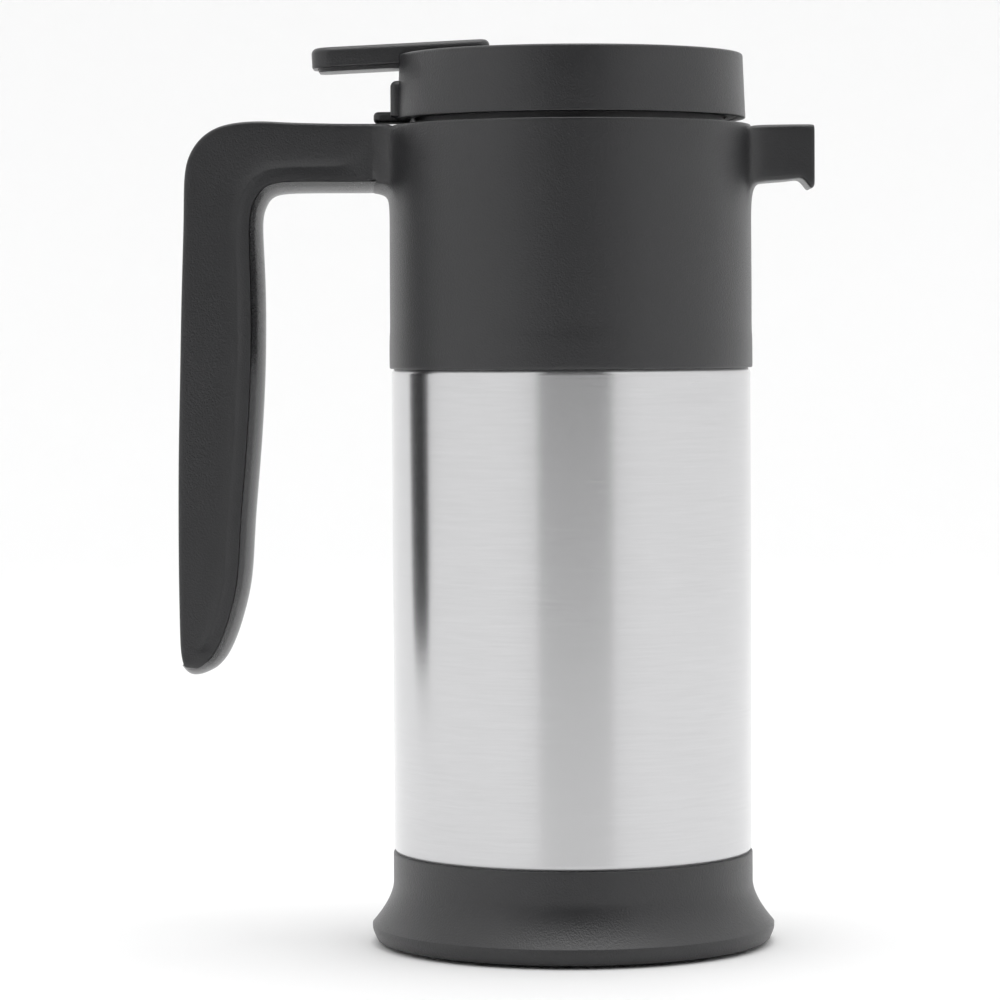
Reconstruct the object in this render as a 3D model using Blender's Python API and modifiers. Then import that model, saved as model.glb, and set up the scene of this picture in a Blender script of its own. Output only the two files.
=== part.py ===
"""Insulated one-litre carafe with a screw-in stopper and a thumb-lever pouring valve.

Metres, +Z up. The origin is the centre of the foot on the table, the spout points
along +X and the handle along -X.
"""
from math import cos, pi, radians, sin, tau

import bmesh
import bpy
from mathutils import Matrix, Vector

# ---- fits --------------------------------------------------------------------------
GAP = 0.0003                 # between pieces that touch or fit into each other
RUNNING_GAP = 0.0005         # between pieces that move past each other
VISIBLE_SIDES = 40           # facets round a turned piece that shows
HIDDEN_SIDES = 24            # facets round a turned piece inside

# ---- body, from the table up -------------------------------------------------------
BODY_RADIUS = 0.0522         # plastic foot and shoulder
PAD_THICKNESS = 0.0016
FOOT_RIM = 0.0044            # width of the foot's rim round the pad
FOOT_HEIGHT = 0.0270
FOOT_FLARE = 0.0062          # how far the foot spreads past the body
FOOT_FLARE_HEIGHT = 0.0176
FOOT_EDGE_HEIGHT = 0.0047    # height of the foot's widest line
FOOT_FLOOR = 0.0025
SLEEVE_HEIGHT = 0.1390       # steel that shows between foot and shoulder
SLEEVE_STEP = 0.0006         # how far the steel lies inside the plastic
SLEEVE_WALL = 0.0006
SLEEVE_JOGGLE = 0.0009       # the sleeve's ends neck in by this much
SLEEVE_INSERT = 0.0047       # length of each necked end
SHOULDER_HEIGHT = 0.0709
SHOULDER_WALL = 0.0024
SHOULDER_TAPER = 0.0003
MOUTH_RADIUS = 0.0450        # opening in the shoulder's top

# ---- lid ---------------------------------------------------------------------------
LID_GAP = 0.0017
LID_HEIGHT = 0.0181
LID_STEP = 0.0022            # how far the lid lies inside the shoulder
LID_TAPER = 0.0005
LID_WALL = 0.0020
TAB_REACH = 0.0066           # tab past the lid's side
TAB_THICKNESS = 0.0031
TAB_HALF_WIDTH = 0.0060
PAD_REACH = 0.0016           # raised pad behind the lever
PAD_HALF_WIDTH = 0.0115

# ---- liner -------------------------------------------------------------------------
CUP_WALL = 0.0018
CUP_HEIGHT = 0.0272
LINER_CLEARANCE = 0.0005
LINER_CORNER = 0.0250
LINER_GLASS = 0.0012
LINER_VACUUM = 0.0016
LINER_NECK_RADIUS = 0.0260
LINER_NECK_LENGTH = 0.0132
LINER_SHOULDER_RISE = 0.0160
LINER_PIP_RADIUS = 0.0015
CUSHION_THICKNESS = 0.0030
CUSHION_WRAP = 40            # degrees of the liner's corner that the cushion wraps

# ---- funnel and stopper ------------------------------------------------------------
COLLAR_WALL = 0.0022
COLLAR_RISE = 0.0031         # collar above the shoulder's top
FUNNEL_DEPTH = 0.0289        # from the shoulder's top to the funnel's seat on the liner
FUNNEL_RING_WALL = 0.0045
FUNNEL_RING_DEPTH = 0.0080
FLANGE_THICKNESS = 0.0023
NECK_SEAL_THICKNESS = 0.0022
THREAD_STARTS = 3
THREAD_LEAD = 0.0240         # rise for one full turn
THREAD_DEPTH = 0.0013
THREAD_WIDTH = 0.0025
THREAD_SWEEP = 90            # degrees that each ridge runs round
SKIRT_WALL = 0.0022
STOPPER_FLOOR = 0.0020
SKIRT_HEIGHT = 0.0110
PLUG_RADIUS = 0.0200
PLUG_WALL = 0.0018
PLUG_LENGTH = 0.0258         # below the stopper's floor
PLUG_WINDOW_HEIGHT = 0.0100
PLUG_WINDOW_WIDTH = 0.0120
SEAL_HEIGHT = 0.0050
SEAL_COLLAR = 0.0007
VALVE_HOLE_RADIUS = 0.0070
VALVE_DISC_RADIUS = 0.0090
VALVE_DISC_THICKNESS = 0.0020
STEM_RADIUS = 0.0025
NUT_RADIUS = 0.0045
NUT_HEIGHT = 0.0030
SPRING_RADIUS = 0.0044
SPRING_WIRE = 0.0010         # wire diameter
SPRING_TURNS = 5

# ---- lever -------------------------------------------------------------------------
PIVOT_X = -0.0380
PIVOT_BELOW_TOP = 0.0042     # pin axis below the lid's top
PIN_RADIUS = 0.0014
LEVER_TILT = 2.7             # degrees, thumb end low
LEVER_THUMB_REACH = 0.0361   # from the pin to the thumb end
LEVER_NOSE_REACH = 0.0152    # from the pin to the other end
LEVER_HALF_WIDTH = 0.0098
COVER_HEIGHT = 0.0059
COVER_ABOVE_PIN = 0.0020     # underside of the cover above the pin axis
COVER_WALL = 0.0015
CORE_DROP = 0.0011           # the arm's core below the cover's underside
HUB_RADIUS = 0.0030
TONGUE_HALF_WIDTH = 0.0055
FORK_THICKNESS = 0.0024
FORK_PLAY = 0.0011           # free travel below the nut
WELL_HALF_WIDTH = 0.0103
WELL_WALL = 0.0015
WELL_PLAY = 0.0018           # between the lever's nose and the well's end

# ---- spout and handle --------------------------------------------------------------
SPOUT_REACH = 0.0179         # past the body
SPOUT_HALF_WIDTH = 0.0100
SPOUT_DEPTH = 0.0170
NOZZLE_HALF_WIDTH = 0.0076
NOZZLE_HEIGHT = 0.0088
NOZZLE_WALL = 0.0012
NOZZLE_ABOVE_SEAT = 0.0133
HANDLE_HALF_WIDTH = 0.0120
HANDLE_ROUNDING = 0.0026
HANDLE_COVER_ROUNDING = 0.0037
HANDLE_WALL = 0.0026
HANDLE_DROP = 0.0005         # arm's top below the shoulder's top
HANDLE_COVER_DEPTH = 0.0044

# ---- screws ------------------------------------------------------------------------
SCREW_RADIUS = 0.0015
SCREW_HEAD_RADIUS = 0.0030
SCREW_HEAD_HEIGHT = 0.0018
SMALL_SCREW_RADIUS = 0.0010
SMALL_HEAD_RADIUS = 0.0020
SMALL_HEAD_HEIGHT = 0.0013
BOSS_WALL = 0.0022

# ---- places that follow from the sizes above ----------------------------------------
PAD_RADIUS = BODY_RADIUS + FOOT_FLARE - FOOT_RIM
FOOT_FLOOR_Z = PAD_THICKNESS + GAP
SHOULDER_Z = FOOT_HEIGHT + SLEEVE_HEIGHT
SHOULDER_TOP = SHOULDER_Z + SHOULDER_HEIGHT
LID_Z = SHOULDER_TOP + LID_GAP
LID_TOP = LID_Z + LID_HEIGHT
SLEEVE_RADIUS = BODY_RADIUS - SLEEVE_STEP
SLEEVE_END_RADIUS = SLEEVE_RADIUS - SLEEVE_JOGGLE
CUP_RADIUS = SLEEVE_END_RADIUS - SLEEVE_WALL - GAP
LINER_RADIUS = CUP_RADIUS - CUP_WALL - LINER_CLEARANCE
LINER_THICKNESS = 2 * LINER_GLASS + LINER_VACUUM
FUNNEL_SEAT = SHOULDER_TOP - FUNNEL_DEPTH
LINER_TOP = FUNNEL_SEAT - NECK_SEAL_THICKNESS - 2 * GAP
LINER_NECK_BORE = LINER_NECK_RADIUS - LINER_THICKNESS + LINER_GLASS / 2
COLLAR_RADIUS = MOUTH_RADIUS - GAP
COLLAR_BORE = COLLAR_RADIUS - COLLAR_WALL
COLLAR_TOP = SHOULDER_TOP + COLLAR_RISE
SKIRT_RADIUS = COLLAR_BORE - THREAD_DEPTH - RUNNING_GAP
PLUG_BORE = PLUG_RADIUS - PLUG_WALL
SEAL_RADIUS = LINER_NECK_BORE
FUNNEL_BORE = SEAL_RADIUS + GAP
SKIRT_TOP = COLLAR_TOP
STOPPER_FLOOR_Z = SKIRT_TOP - SKIRT_HEIGHT
PLUG_Z = STOPPER_FLOOR_Z - PLUG_LENGTH
SEAT_TOP = PLUG_Z + STOPPER_FLOOR
DISC_Z = SEAT_TOP + 0.0028
DISC_TOP = DISC_Z + VALVE_DISC_THICKNESS
LID_RADIUS = BODY_RADIUS - LID_STEP
PLATE_Z = LID_TOP - LID_WALL
PIVOT = Vector((PIVOT_X, 0, LID_TOP - PIVOT_BELOW_TOP))
NUT_Z = PLATE_Z - 0.0079 - NUT_HEIGHT
LEVER_REACH = -PIVOT_X
WELL_END_X = PIVOT_X + LEVER_NOSE_REACH + WELL_PLAY
ARM_TOP = SHOULDER_TOP - HANDLE_DROP
NOZZLE_Z = FUNNEL_SEAT + NOZZLE_ABOVE_SEAT
SPOUT_END_X = BODY_RADIUS + SPOUT_REACH


# ---- scene helpers -----------------------------------------------------------------
def new_collection(name):
    collection = bpy.data.collections.new(name)
    bpy.context.scene.collection.children.link(collection)
    return collection


def finish(name, colour, roughness, metallic=0.0):
    """A plain Principled finish."""
    material = bpy.data.materials.new(name)
    material.use_nodes = True
    shader = material.node_tree.nodes["Principled BSDF"]
    shader.inputs["Base Color"].default_value = (*colour, 1)
    shader.inputs["Roughness"].default_value = roughness
    shader.inputs["Metallic"].default_value = metallic
    return material


def place(name, mesh, material):
    """Put a mesh into the carafe with its finish, or among the cutters without one."""
    piece = bpy.data.objects.new(name, mesh)
    if material is None:
        CUTTERS.objects.link(piece)
        piece.hide_render = True
        piece.display_type = "WIRE"
    else:
        CARAFE.objects.link(piece)
        mesh.materials.append(material)
    return piece


def combine(piece, other, operation):
    step = piece.modifiers.new(f"{operation.title()} {other.name}", "BOOLEAN")
    step.operation = operation
    step.object = other
    step.solver = "EXACT"


def add(piece, *others):
    for other in others:
        combine(piece, other, "UNION")


def cut(piece, *others):
    for other in others:
        combine(piece, other, "DIFFERENCE")


# ---- shape helpers -----------------------------------------------------------------
def arc(centre_r, centre_z, radius, start, end, steps=3):
    """Points on a circular arc, angles in degrees from +R towards +Z."""
    angles = [radians(start + (end - start) * step / steps) for step in range(steps + 1)]
    return [(centre_r + radius * cos(a), centre_z + radius * sin(a)) for a in angles]


def turned(name, outline, material=None, sides=VISIBLE_SIDES, centre=(0, 0), closed=True):
    """Turn an (r, z) outline round Z. It runs down its outer side."""
    mesh = bpy.data.meshes.new(name)
    corners = [(r, 0, z) for r, z in outline]
    edges = [(i, i + 1) for i in range(len(corners) - 1)]
    if closed:
        edges.append((len(corners) - 1, 0))
    mesh.from_pydata(corners, edges, [])
    piece = place(name, mesh, material)
    piece.location = (centre[0], centre[1], 0)
    turning = piece.modifiers.new("Turn", "SCREW")
    turning.steps = sides
    turning.render_steps = sides
    turning.use_merge_vertices = True
    turning.merge_threshold = 0.00001
    return piece


def turned_solid(name, outline, material=None, sides=VISIBLE_SIDES, centre=(0, 0)):
    """A turned piece whose outline starts and ends on the axis."""
    return turned(name, outline, material, sides, centre, closed=False)


def block(name, low, high, material=None):
    """A box between two opposite corners."""
    mesh = bpy.data.meshes.new(name)
    shape = bmesh.new()
    bmesh.ops.create_cube(shape, size=1.0)
    low = Vector(low)
    high = Vector(high)
    bmesh.ops.scale(shape, vec=high - low, verts=shape.verts)
    bmesh.ops.translate(shape, vec=(low + high) / 2, verts=shape.verts)
    shape.to_mesh(mesh)
    shape.free()
    return place(name, mesh, material)


def rod(name, radius, start, end, material=None, sides=24):
    """A straight cylinder from one point to another."""
    start = Vector(start)
    along = Vector(end) - start
    mesh = bpy.data.meshes.new(name)
    shape = bmesh.new()
    bmesh.ops.create_cone(shape, cap_ends=True, segments=sides, radius1=radius,
                          radius2=radius, depth=along.length)
    turn = Vector((0, 0, 1)).rotation_difference(along).to_matrix().to_4x4()
    bmesh.ops.transform(shape, matrix=Matrix.Translation(start + along / 2) @ turn,
                        verts=shape.verts)
    shape.to_mesh(mesh)
    shape.free()
    return place(name, mesh, material)


def slab(name, outline, half_width, material=None):
    """An (x, z) outline, drawn flat and extruded to both sides of Y = 0."""
    curve = bpy.data.curves.new(name, "CURVE")
    curve.dimensions = "2D"
    curve.fill_mode = "BOTH"
    curve.extrude = half_width
    line = curve.splines.new("POLY")
    line.points.add(len(outline) - 1)
    for point, (x, z) in zip(line.points, outline):
        point.co = (x, z, 0, 1)
    line.use_cyclic_u = True
    drawing = bpy.data.objects.new(f"{name} drawing", curve)
    CUTTERS.objects.link(drawing)
    depsgraph = bpy.context.evaluated_depsgraph_get()
    mesh = bpy.data.meshes.new_from_object(drawing.evaluated_get(depsgraph))
    mesh.materials.clear()
    mesh.transform(Matrix.Rotation(pi / 2, 4, "X"))
    bpy.data.objects.remove(drawing)
    shape = bmesh.new()
    shape.from_mesh(mesh)
    bmesh.ops.remove_doubles(shape, verts=shape.verts, dist=0.00001)
    bmesh.ops.recalc_face_normals(shape, faces=shape.faces)
    shape.to_mesh(mesh)
    shape.free()
    return place(name, mesh, material)


def loft(name, rings, material=None):
    """A closed skin over rings of equal point counts, with flat ends."""
    mesh = bpy.data.meshes.new(name)
    shape = bmesh.new()
    rows = [[shape.verts.new(point) for point in ring] for ring in rings]
    for row, following in zip(rows, rows[1:]):
        for i in range(len(row)):
            j = (i + 1) % len(row)
            shape.faces.new((row[i], row[j], following[j], following[i]))
    shape.faces.new(list(reversed(rows[0])))
    shape.faces.new(rows[-1])
    bmesh.ops.recalc_face_normals(shape, faces=shape.faces)
    shape.to_mesh(mesh)
    shape.free()
    return place(name, mesh, material)


def rounded_section(outer, inner, half_width, rounding, round_outer=True, round_inner=True):
    """A flat ring from an outer to an inner (x, z) point, with its corners rounded."""
    outer = Vector((outer[0], 0, outer[1]))
    inner = Vector((inner[0], 0, inner[1]))
    depth = (inner - outer).length
    across = (inner - outer) / depth
    rounded_sides = round_outer + round_inner
    rounding = min(rounding, 0.9 * depth / max(rounded_sides, 1), 0.45 * half_width)
    ring = []
    for side, at_inner in ((1, False), (1, True), (-1, True), (-1, False)):
        is_round = round_inner if at_inner else round_outer
        radius = rounding if is_round else 0.0
        corner = []
        for angle in (0, 45, 90) if radius else (0,):
            a = radians(angle)
            off_end = radius * (1 - cos(a))
            off_side = radius * (1 - sin(a))
            depth_here = depth - off_end if at_inner else off_end
            corner.append(outer + across * depth_here + Vector((0, side * (half_width - off_side), 0)))
        if (side == 1) == at_inner:
            corner.reverse()
        ring += corner
    return ring


def screw_outline(head_z, head_height, head_radius, shank_radius, tip_z):
    """A pan-head screw pointing up, head at the bottom."""
    return [(0, tip_z), (shank_radius * 0.6, tip_z), (shank_radius, tip_z - shank_radius),
            (shank_radius, head_z + head_height), (head_radius, head_z + head_height),
            (head_radius, head_z + head_height * 0.4), (head_radius * 0.7, head_z), (0, head_z)]


def around(radius, start, count=3):
    """Evenly spaced (x, y) places on a circle, the first at an angle in degrees."""
    angles = [radians(start) + tau * step / count for step in range(count)]
    return [(radius * cos(a), radius * sin(a)) for a in angles]


def screw_ring(name, places, outline, material):
    """One screw at each place, named name_1, name_2, and so on."""
    return [turned_solid(f"{name}_{number}", outline, material, sides=12, centre=spot)
            for number, spot in enumerate(places, 1)]


def thread(name, start_z, first_angle, wall_radius, crest_radius):
    """The ridges of a multi-start thread, each a short helical loft."""
    steps = 7
    ridges = []
    for start in range(THREAD_STARTS):
        rings = []
        for step in range(steps + 1):
            turn = radians(THREAD_SWEEP) * step / steps
            angle = radians(first_angle) + tau * start / THREAD_STARTS + turn
            z = start_z + THREAD_LEAD * turn / tau
            narrow = 0.6 * THREAD_WIDTH / 2
            wide = THREAD_WIDTH / 2
            section = ((wall_radius, -wide), (crest_radius, -narrow), (crest_radius, narrow), (wall_radius, wide))
            rings.append([(r * cos(angle), r * sin(angle), z + dz) for r, dz in section])
        ridges.append(loft(f"{name} ridge {start + 1}", rings))
    return ridges


# ---- base --------------------------------------------------------------------------
def foot_outside():
    """The foot's outer line from its top edge down to its lower rim."""
    edge = 0.0006
    widest = BODY_RADIUS + FOOT_FLARE
    line = [(BODY_RADIUS - edge, FOOT_HEIGHT), (BODY_RADIUS, FOOT_HEIGHT - edge)]
    steps = 6
    for step in range(steps + 1):
        share = step / steps
        z = FOOT_FLARE_HEIGHT + (FOOT_EDGE_HEIGHT + 0.0008 - FOOT_FLARE_HEIGHT) * share
        line.append((BODY_RADIUS + FOOT_FLARE * share ** 1.7, z))
    return line + [(widest, FOOT_EDGE_HEIGHT - 0.0006), (widest - 0.0014, 0.0008)]


def make_base(material_plastic, material_rubber, material_screw):
    turned_solid("foot_pad", [(0, PAD_THICKNESS), (PAD_RADIUS - 0.0004, PAD_THICKNESS),
                              (PAD_RADIUS, PAD_THICKNESS - 0.0004), (PAD_RADIUS, 0.0003),
                              (PAD_RADIUS - 0.0003, 0), (0, 0)], material_rubber)

    outside = foot_outside()
    floor_top = FOOT_FLOOR_Z + FOOT_FLOOR
    ledge_z = FOOT_HEIGHT - SLEEVE_INSERT - GAP
    inner_radius = CUP_RADIUS + GAP
    low_radius = PAD_RADIUS + GAP
    outline = outside + [(low_radius, 0.0008), (low_radius, FOOT_FLOOR_Z), (0, FOOT_FLOOR_Z)]
    top = [(0, floor_top), (inner_radius, floor_top), (inner_radius, ledge_z),
           (SLEEVE_END_RADIUS + GAP, ledge_z), (SLEEVE_END_RADIUS + GAP, FOOT_HEIGHT)]
    foot = turned_solid("foot_base", top + outline, material_plastic)

    boss_radius = SCREW_RADIUS + GAP + BOSS_WALL
    places = around(CUP_RADIUS - CUP_WALL - LINER_CLEARANCE - boss_radius - 0.0014, 90)
    boss_top = floor_top + 0.0021
    cup_floor = boss_top + GAP
    cup_floor_top = cup_floor + FOOT_FLOOR
    tower_top = cup_floor_top + 0.0042
    head_z = FOOT_FLOOR_Z + GAP
    shank_z = head_z + SCREW_HEAD_HEIGHT
    for number, (x, y) in enumerate(places, 1):
        add(foot, rod(f"foot boss {number}", boss_radius, (x, y, floor_top - 0.001), (x, y, boss_top)))
        cut(foot, rod(f"foot counterbore {number}", SCREW_HEAD_RADIUS + GAP, (x, y, 0), (x, y, shank_z + GAP)),
            rod(f"foot bore {number}", SCREW_RADIUS + GAP, (x, y, 0), (x, y, boss_top + 0.001), sides=16))
    screw_ring("foot_screw", places,
               screw_outline(head_z, SCREW_HEAD_HEIGHT, SCREW_HEAD_RADIUS, SCREW_RADIUS, tower_top - 0.0012),
               material_screw)

    cup_bore = CUP_RADIUS - CUP_WALL
    cup_top = cup_floor + CUP_HEIGHT
    cup = turned_solid("support_cup", [
        (0, cup_floor_top), (cup_bore, cup_floor_top), (cup_bore, cup_top), (CUP_RADIUS - 0.0008, cup_top),
        (CUP_RADIUS, cup_top - 0.0008), (CUP_RADIUS, cup_floor), (0, cup_floor)],
        material_plastic, HIDDEN_SIDES)
    for number, (x, y) in enumerate(places, 1):
        add(cup, rod(f"cup tower {number}", boss_radius, (x, y, cup_floor_top - 0.001), (x, y, tower_top)))
        cut(cup, rod(f"cup bore {number}", SCREW_RADIUS + GAP, (x, y, cup_floor - 0.001),
                     (x, y, tower_top - 0.0006), sides=16))

    corner_r = LINER_RADIUS - LINER_CORNER
    near = LINER_CORNER + GAP
    far = near + CUSHION_THICKNESS
    corner_z = cup_floor_top + GAP + far
    wrap_end = -90 + CUSHION_WRAP
    hole = 0.0060
    turned("liner_cushion",
           arc(corner_r, corner_z, far, wrap_end, -90) + [(hole, corner_z - far), (hole, corner_z - near)]
           + arc(corner_r, corner_z, near, -90, wrap_end), material_rubber, HIDDEN_SIDES)
    return corner_z


def make_liner(corner_z, material):
    """Double-walled flask, its vacuum space open at the pip in the bottom."""
    corner_r = LINER_RADIUS - LINER_CORNER
    body_top = LINER_TOP - LINER_NECK_LENGTH - LINER_SHOULDER_RISE
    neck_z = LINER_TOP - LINER_NECK_LENGTH
    rim = (LINER_NECK_RADIUS + LINER_NECK_BORE) / 2

    def wall(depth, neck_radius):
        """One skin, from the bottom up to the neck, a depth inside the outer one."""
        slope = (LINER_RADIUS - LINER_NECK_RADIUS) * 0.35
        return (arc(corner_r, corner_z, LINER_CORNER - depth, -90, 0)
                + [(LINER_RADIUS - depth, body_top),
                   (LINER_RADIUS - depth - slope, body_top + LINER_SHOULDER_RISE * 0.55 - depth * 0.6),
                   (neck_radius + 0.0012, neck_z - depth * 0.6), (neck_radius, neck_z + 0.0016)])

    outside = wall(0, LINER_NECK_RADIUS)
    vacuum_outside = wall(LINER_GLASS, LINER_NECK_RADIUS - LINER_GLASS)
    vacuum_inside = wall(LINER_GLASS + LINER_VACUUM, LINER_NECK_BORE + LINER_GLASS)
    inside = wall(LINER_THICKNESS, LINER_NECK_BORE)
    bottom = corner_z - LINER_CORNER
    web = LINER_TOP - LINER_GLASS * 1.6
    outline = ([(0, bottom + LINER_THICKNESS)] + inside
               + [(LINER_NECK_BORE, LINER_TOP - 0.0008), (rim - 0.0006, LINER_TOP), (rim + 0.0006, LINER_TOP),
                  (LINER_NECK_RADIUS, LINER_TOP - 0.0008)] + list(reversed(outside))
               + [(LINER_PIP_RADIUS, bottom), (LINER_PIP_RADIUS, bottom + LINER_GLASS)] + vacuum_outside
               + [(LINER_NECK_RADIUS - LINER_GLASS, web), (LINER_NECK_BORE + LINER_GLASS, web)]
               + list(reversed(vacuum_inside)) + [(0, bottom + LINER_GLASS + LINER_VACUUM)])
    turned_solid("glass_liner", outline, material, HIDDEN_SIDES)


def make_sleeve(material):
    low = FOOT_HEIGHT - SLEEVE_INSERT
    high = SHOULDER_Z + SLEEVE_INSERT
    slope = 0.0011

    def line(depth):
        return [(SLEEVE_END_RADIUS - depth, high), (SLEEVE_END_RADIUS - depth, SHOULDER_Z - GAP + 0.0002),
                (SLEEVE_RADIUS - depth, SHOULDER_Z - slope), (SLEEVE_RADIUS - depth, FOOT_HEIGHT + slope),
                (SLEEVE_END_RADIUS - depth, FOOT_HEIGHT + GAP - 0.0002), (SLEEVE_END_RADIUS - depth, low)]

    turned("steel_sleeve", line(0) + list(reversed(line(SLEEVE_WALL))), material)


# ---- funnel, nozzle and shoulder -----------------------------------------------------
def thread_base():
    return STOPPER_FLOOR_Z + 0.0036


def make_funnel(material_plastic, material_rubber, material_screw):
    ring_outside = FUNNEL_BORE + FUNNEL_RING_WALL
    flange_z = FUNNEL_SEAT + 0.0060
    flange_top = flange_z + FLANGE_THICKNESS
    flange_radius = BODY_RADIUS - SHOULDER_WALL - 2 * GAP
    bowl_z = FUNNEL_SEAT + FUNNEL_RING_DEPTH
    funnel = turned("pouring_funnel", [
        (COLLAR_RADIUS - 0.0006, COLLAR_TOP), (COLLAR_RADIUS, COLLAR_TOP - 0.0006), (COLLAR_RADIUS, flange_top),
        (flange_radius, flange_top), (flange_radius, flange_z), (MOUTH_RADIUS - 0.0050, flange_z),
        (ring_outside + 0.0008, FUNNEL_SEAT + 0.0044), (ring_outside, FUNNEL_SEAT), (FUNNEL_BORE, FUNNEL_SEAT),
        (FUNNEL_BORE, bowl_z), (COLLAR_BORE, bowl_z + 0.0030), (COLLAR_BORE, COLLAR_TOP)], material_plastic)
    add(funnel, *thread("collar", thread_base(), 90, COLLAR_BORE + 0.0008, COLLAR_BORE - THREAD_DEPTH))
    fit = NOZZLE_HALF_WIDTH + GAP
    cut(funnel, block("funnel window", (COLLAR_BORE - 0.004, -fit, NOZZLE_Z - GAP),
                      (COLLAR_RADIUS + 0.004, fit, NOZZLE_Z + NOZZLE_HEIGHT + GAP)))

    places = around(MOUTH_RADIUS + 0.0020, 60)
    hole = SMALL_SCREW_RADIUS + GAP
    for number, (x, y) in enumerate(places, 1):
        cut(funnel, rod(f"flange hole {number}", hole, (x, y, flange_z - 0.002), (x, y, flange_top + 0.002), sides=12))
    screw_ring("funnel_screw", places,
               screw_outline(flange_z - GAP - SMALL_HEAD_HEIGHT, SMALL_HEAD_HEIGHT, SMALL_HEAD_RADIUS,
                             SMALL_SCREW_RADIUS, flange_top + 0.0080), material_screw)

    seal_top = FUNNEL_SEAT - GAP
    turned("neck_seal", [(LINER_NECK_RADIUS + 0.0005, seal_top), (LINER_NECK_RADIUS + 0.0005, LINER_TOP + GAP),
                         (FUNNEL_BORE, LINER_TOP + GAP), (FUNNEL_BORE, seal_top)], material_rubber, HIDDEN_SIDES)

    start_x = COLLAR_BORE + 0.0004
    end_x = SPOUT_END_X - 0.0008
    nozzle = block("spout_nozzle", (start_x, -NOZZLE_HALF_WIDTH, NOZZLE_Z),
                   (end_x, NOZZLE_HALF_WIDTH, NOZZLE_Z + NOZZLE_HEIGHT), material_plastic)
    duct = NOZZLE_HALF_WIDTH - NOZZLE_WALL
    cut(nozzle, block("nozzle duct", (start_x - 0.002, -duct, NOZZLE_Z + NOZZLE_WALL),
                      (end_x + 0.002, duct, NOZZLE_Z + NOZZLE_HEIGHT - NOZZLE_WALL)))
    return places, flange_top


# Handle outline: past the body (out) and below the arm's top (down), the outer back
# and the inner grip side by side, from the root round the corner to the tip.
HANDLE_STATIONS = (
    ((-0.0060, 0.0000), (-0.0060, 0.0245)),
    ((0.0003, 0.0000), (-0.0006, 0.0235)),
    ((0.0036, 0.0000), (0.0026, 0.0204)),
    ((0.0140, 0.0000), (0.0120, 0.0196)),
    ((0.0280, -0.0004), (0.0262, 0.0196)),
    ((0.0380, -0.0009), (0.0320, 0.0201)),
    ((0.0470, 0.0001), (0.0343, 0.0214)),
    ((0.0528, 0.0030), (0.0353, 0.0230)),
    ((0.0567, 0.0078), (0.0362, 0.0252)),
    ((0.0586, 0.0145), (0.0366, 0.0284)),
    ((0.0589, 0.0275), (0.0365, 0.0340)),
    ((0.0597, 0.0491), (0.0359, 0.0494)),
    ((0.0603, 0.0720), (0.0362, 0.0720)),
    ((0.0609, 0.0950), (0.0376, 0.0940)),
    ((0.0611, 0.1150), (0.0394, 0.1140)),
    ((0.0611, 0.1340), (0.0419, 0.1330)),
    ((0.0609, 0.1455), (0.0446, 0.1450)),
    ((0.0605, 0.1530), (0.0471, 0.1512)),
    ((0.0598, 0.1568), (0.0497, 0.1550)),
    ((0.0583, 0.1584), (0.0520, 0.1574)),
)


def handle_point(point):
    out, down = point
    return Vector((-BODY_RADIUS - out, ARM_TOP - down))


def handle_rings(first, inset_outer, inset_inner, half_width, rounding, round_outer, round_inner):
    """Sections of the handle, cut back from its outer and inner lines. An inset below
    nothing counts from the other line."""
    rings = []
    for outer, inner in HANDLE_STATIONS[first:]:
        outer = handle_point(outer)
        inner = handle_point(inner)
        depth = (inner - outer).length
        across = (inner - outer) / depth
        start = outer + across * (inset_outer if inset_outer >= 0 else depth + inset_outer)
        end = inner - across * inset_inner
        rings.append(rounded_section(start, end, half_width, rounding, round_outer, round_inner))
    return rings


def spout_rings():
    """Sections of the spout from inside the shoulder to the drip lip."""
    bottom = ARM_TOP - SPOUT_DEPTH
    lines = ((-0.0080, -0.0030, 0.0015), (-0.0014, -0.0028, 0.0012), (0.0010, -0.0010, 0.0003),
             (0.0053, -0.0004, 0.0), (0.0122, 0.0004, 0.0), (0.0142, 0.0001, 0.0), (0.0157, -0.0013, 0.0),
             (0.0170, -0.0016, 0.0), (SPOUT_REACH, -0.0006, -0.0006))
    rings = []
    for out, rise, spread in lines:
        x = BODY_RADIUS + out
        top = ARM_TOP - (0.0006 if out == SPOUT_REACH else 0.0)
        half = SPOUT_HALF_WIDTH + spread
        ease = 0.0014
        low = bottom + rise
        rings.append([(x, -half, low + ease), (x, -half, top - ease), (x, ease - half, top), (x, half - ease, top),
                      (x, half, top - ease), (x, half, low + ease), (x, half - ease, low), (x, ease - half, low)])
    return rings


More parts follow.
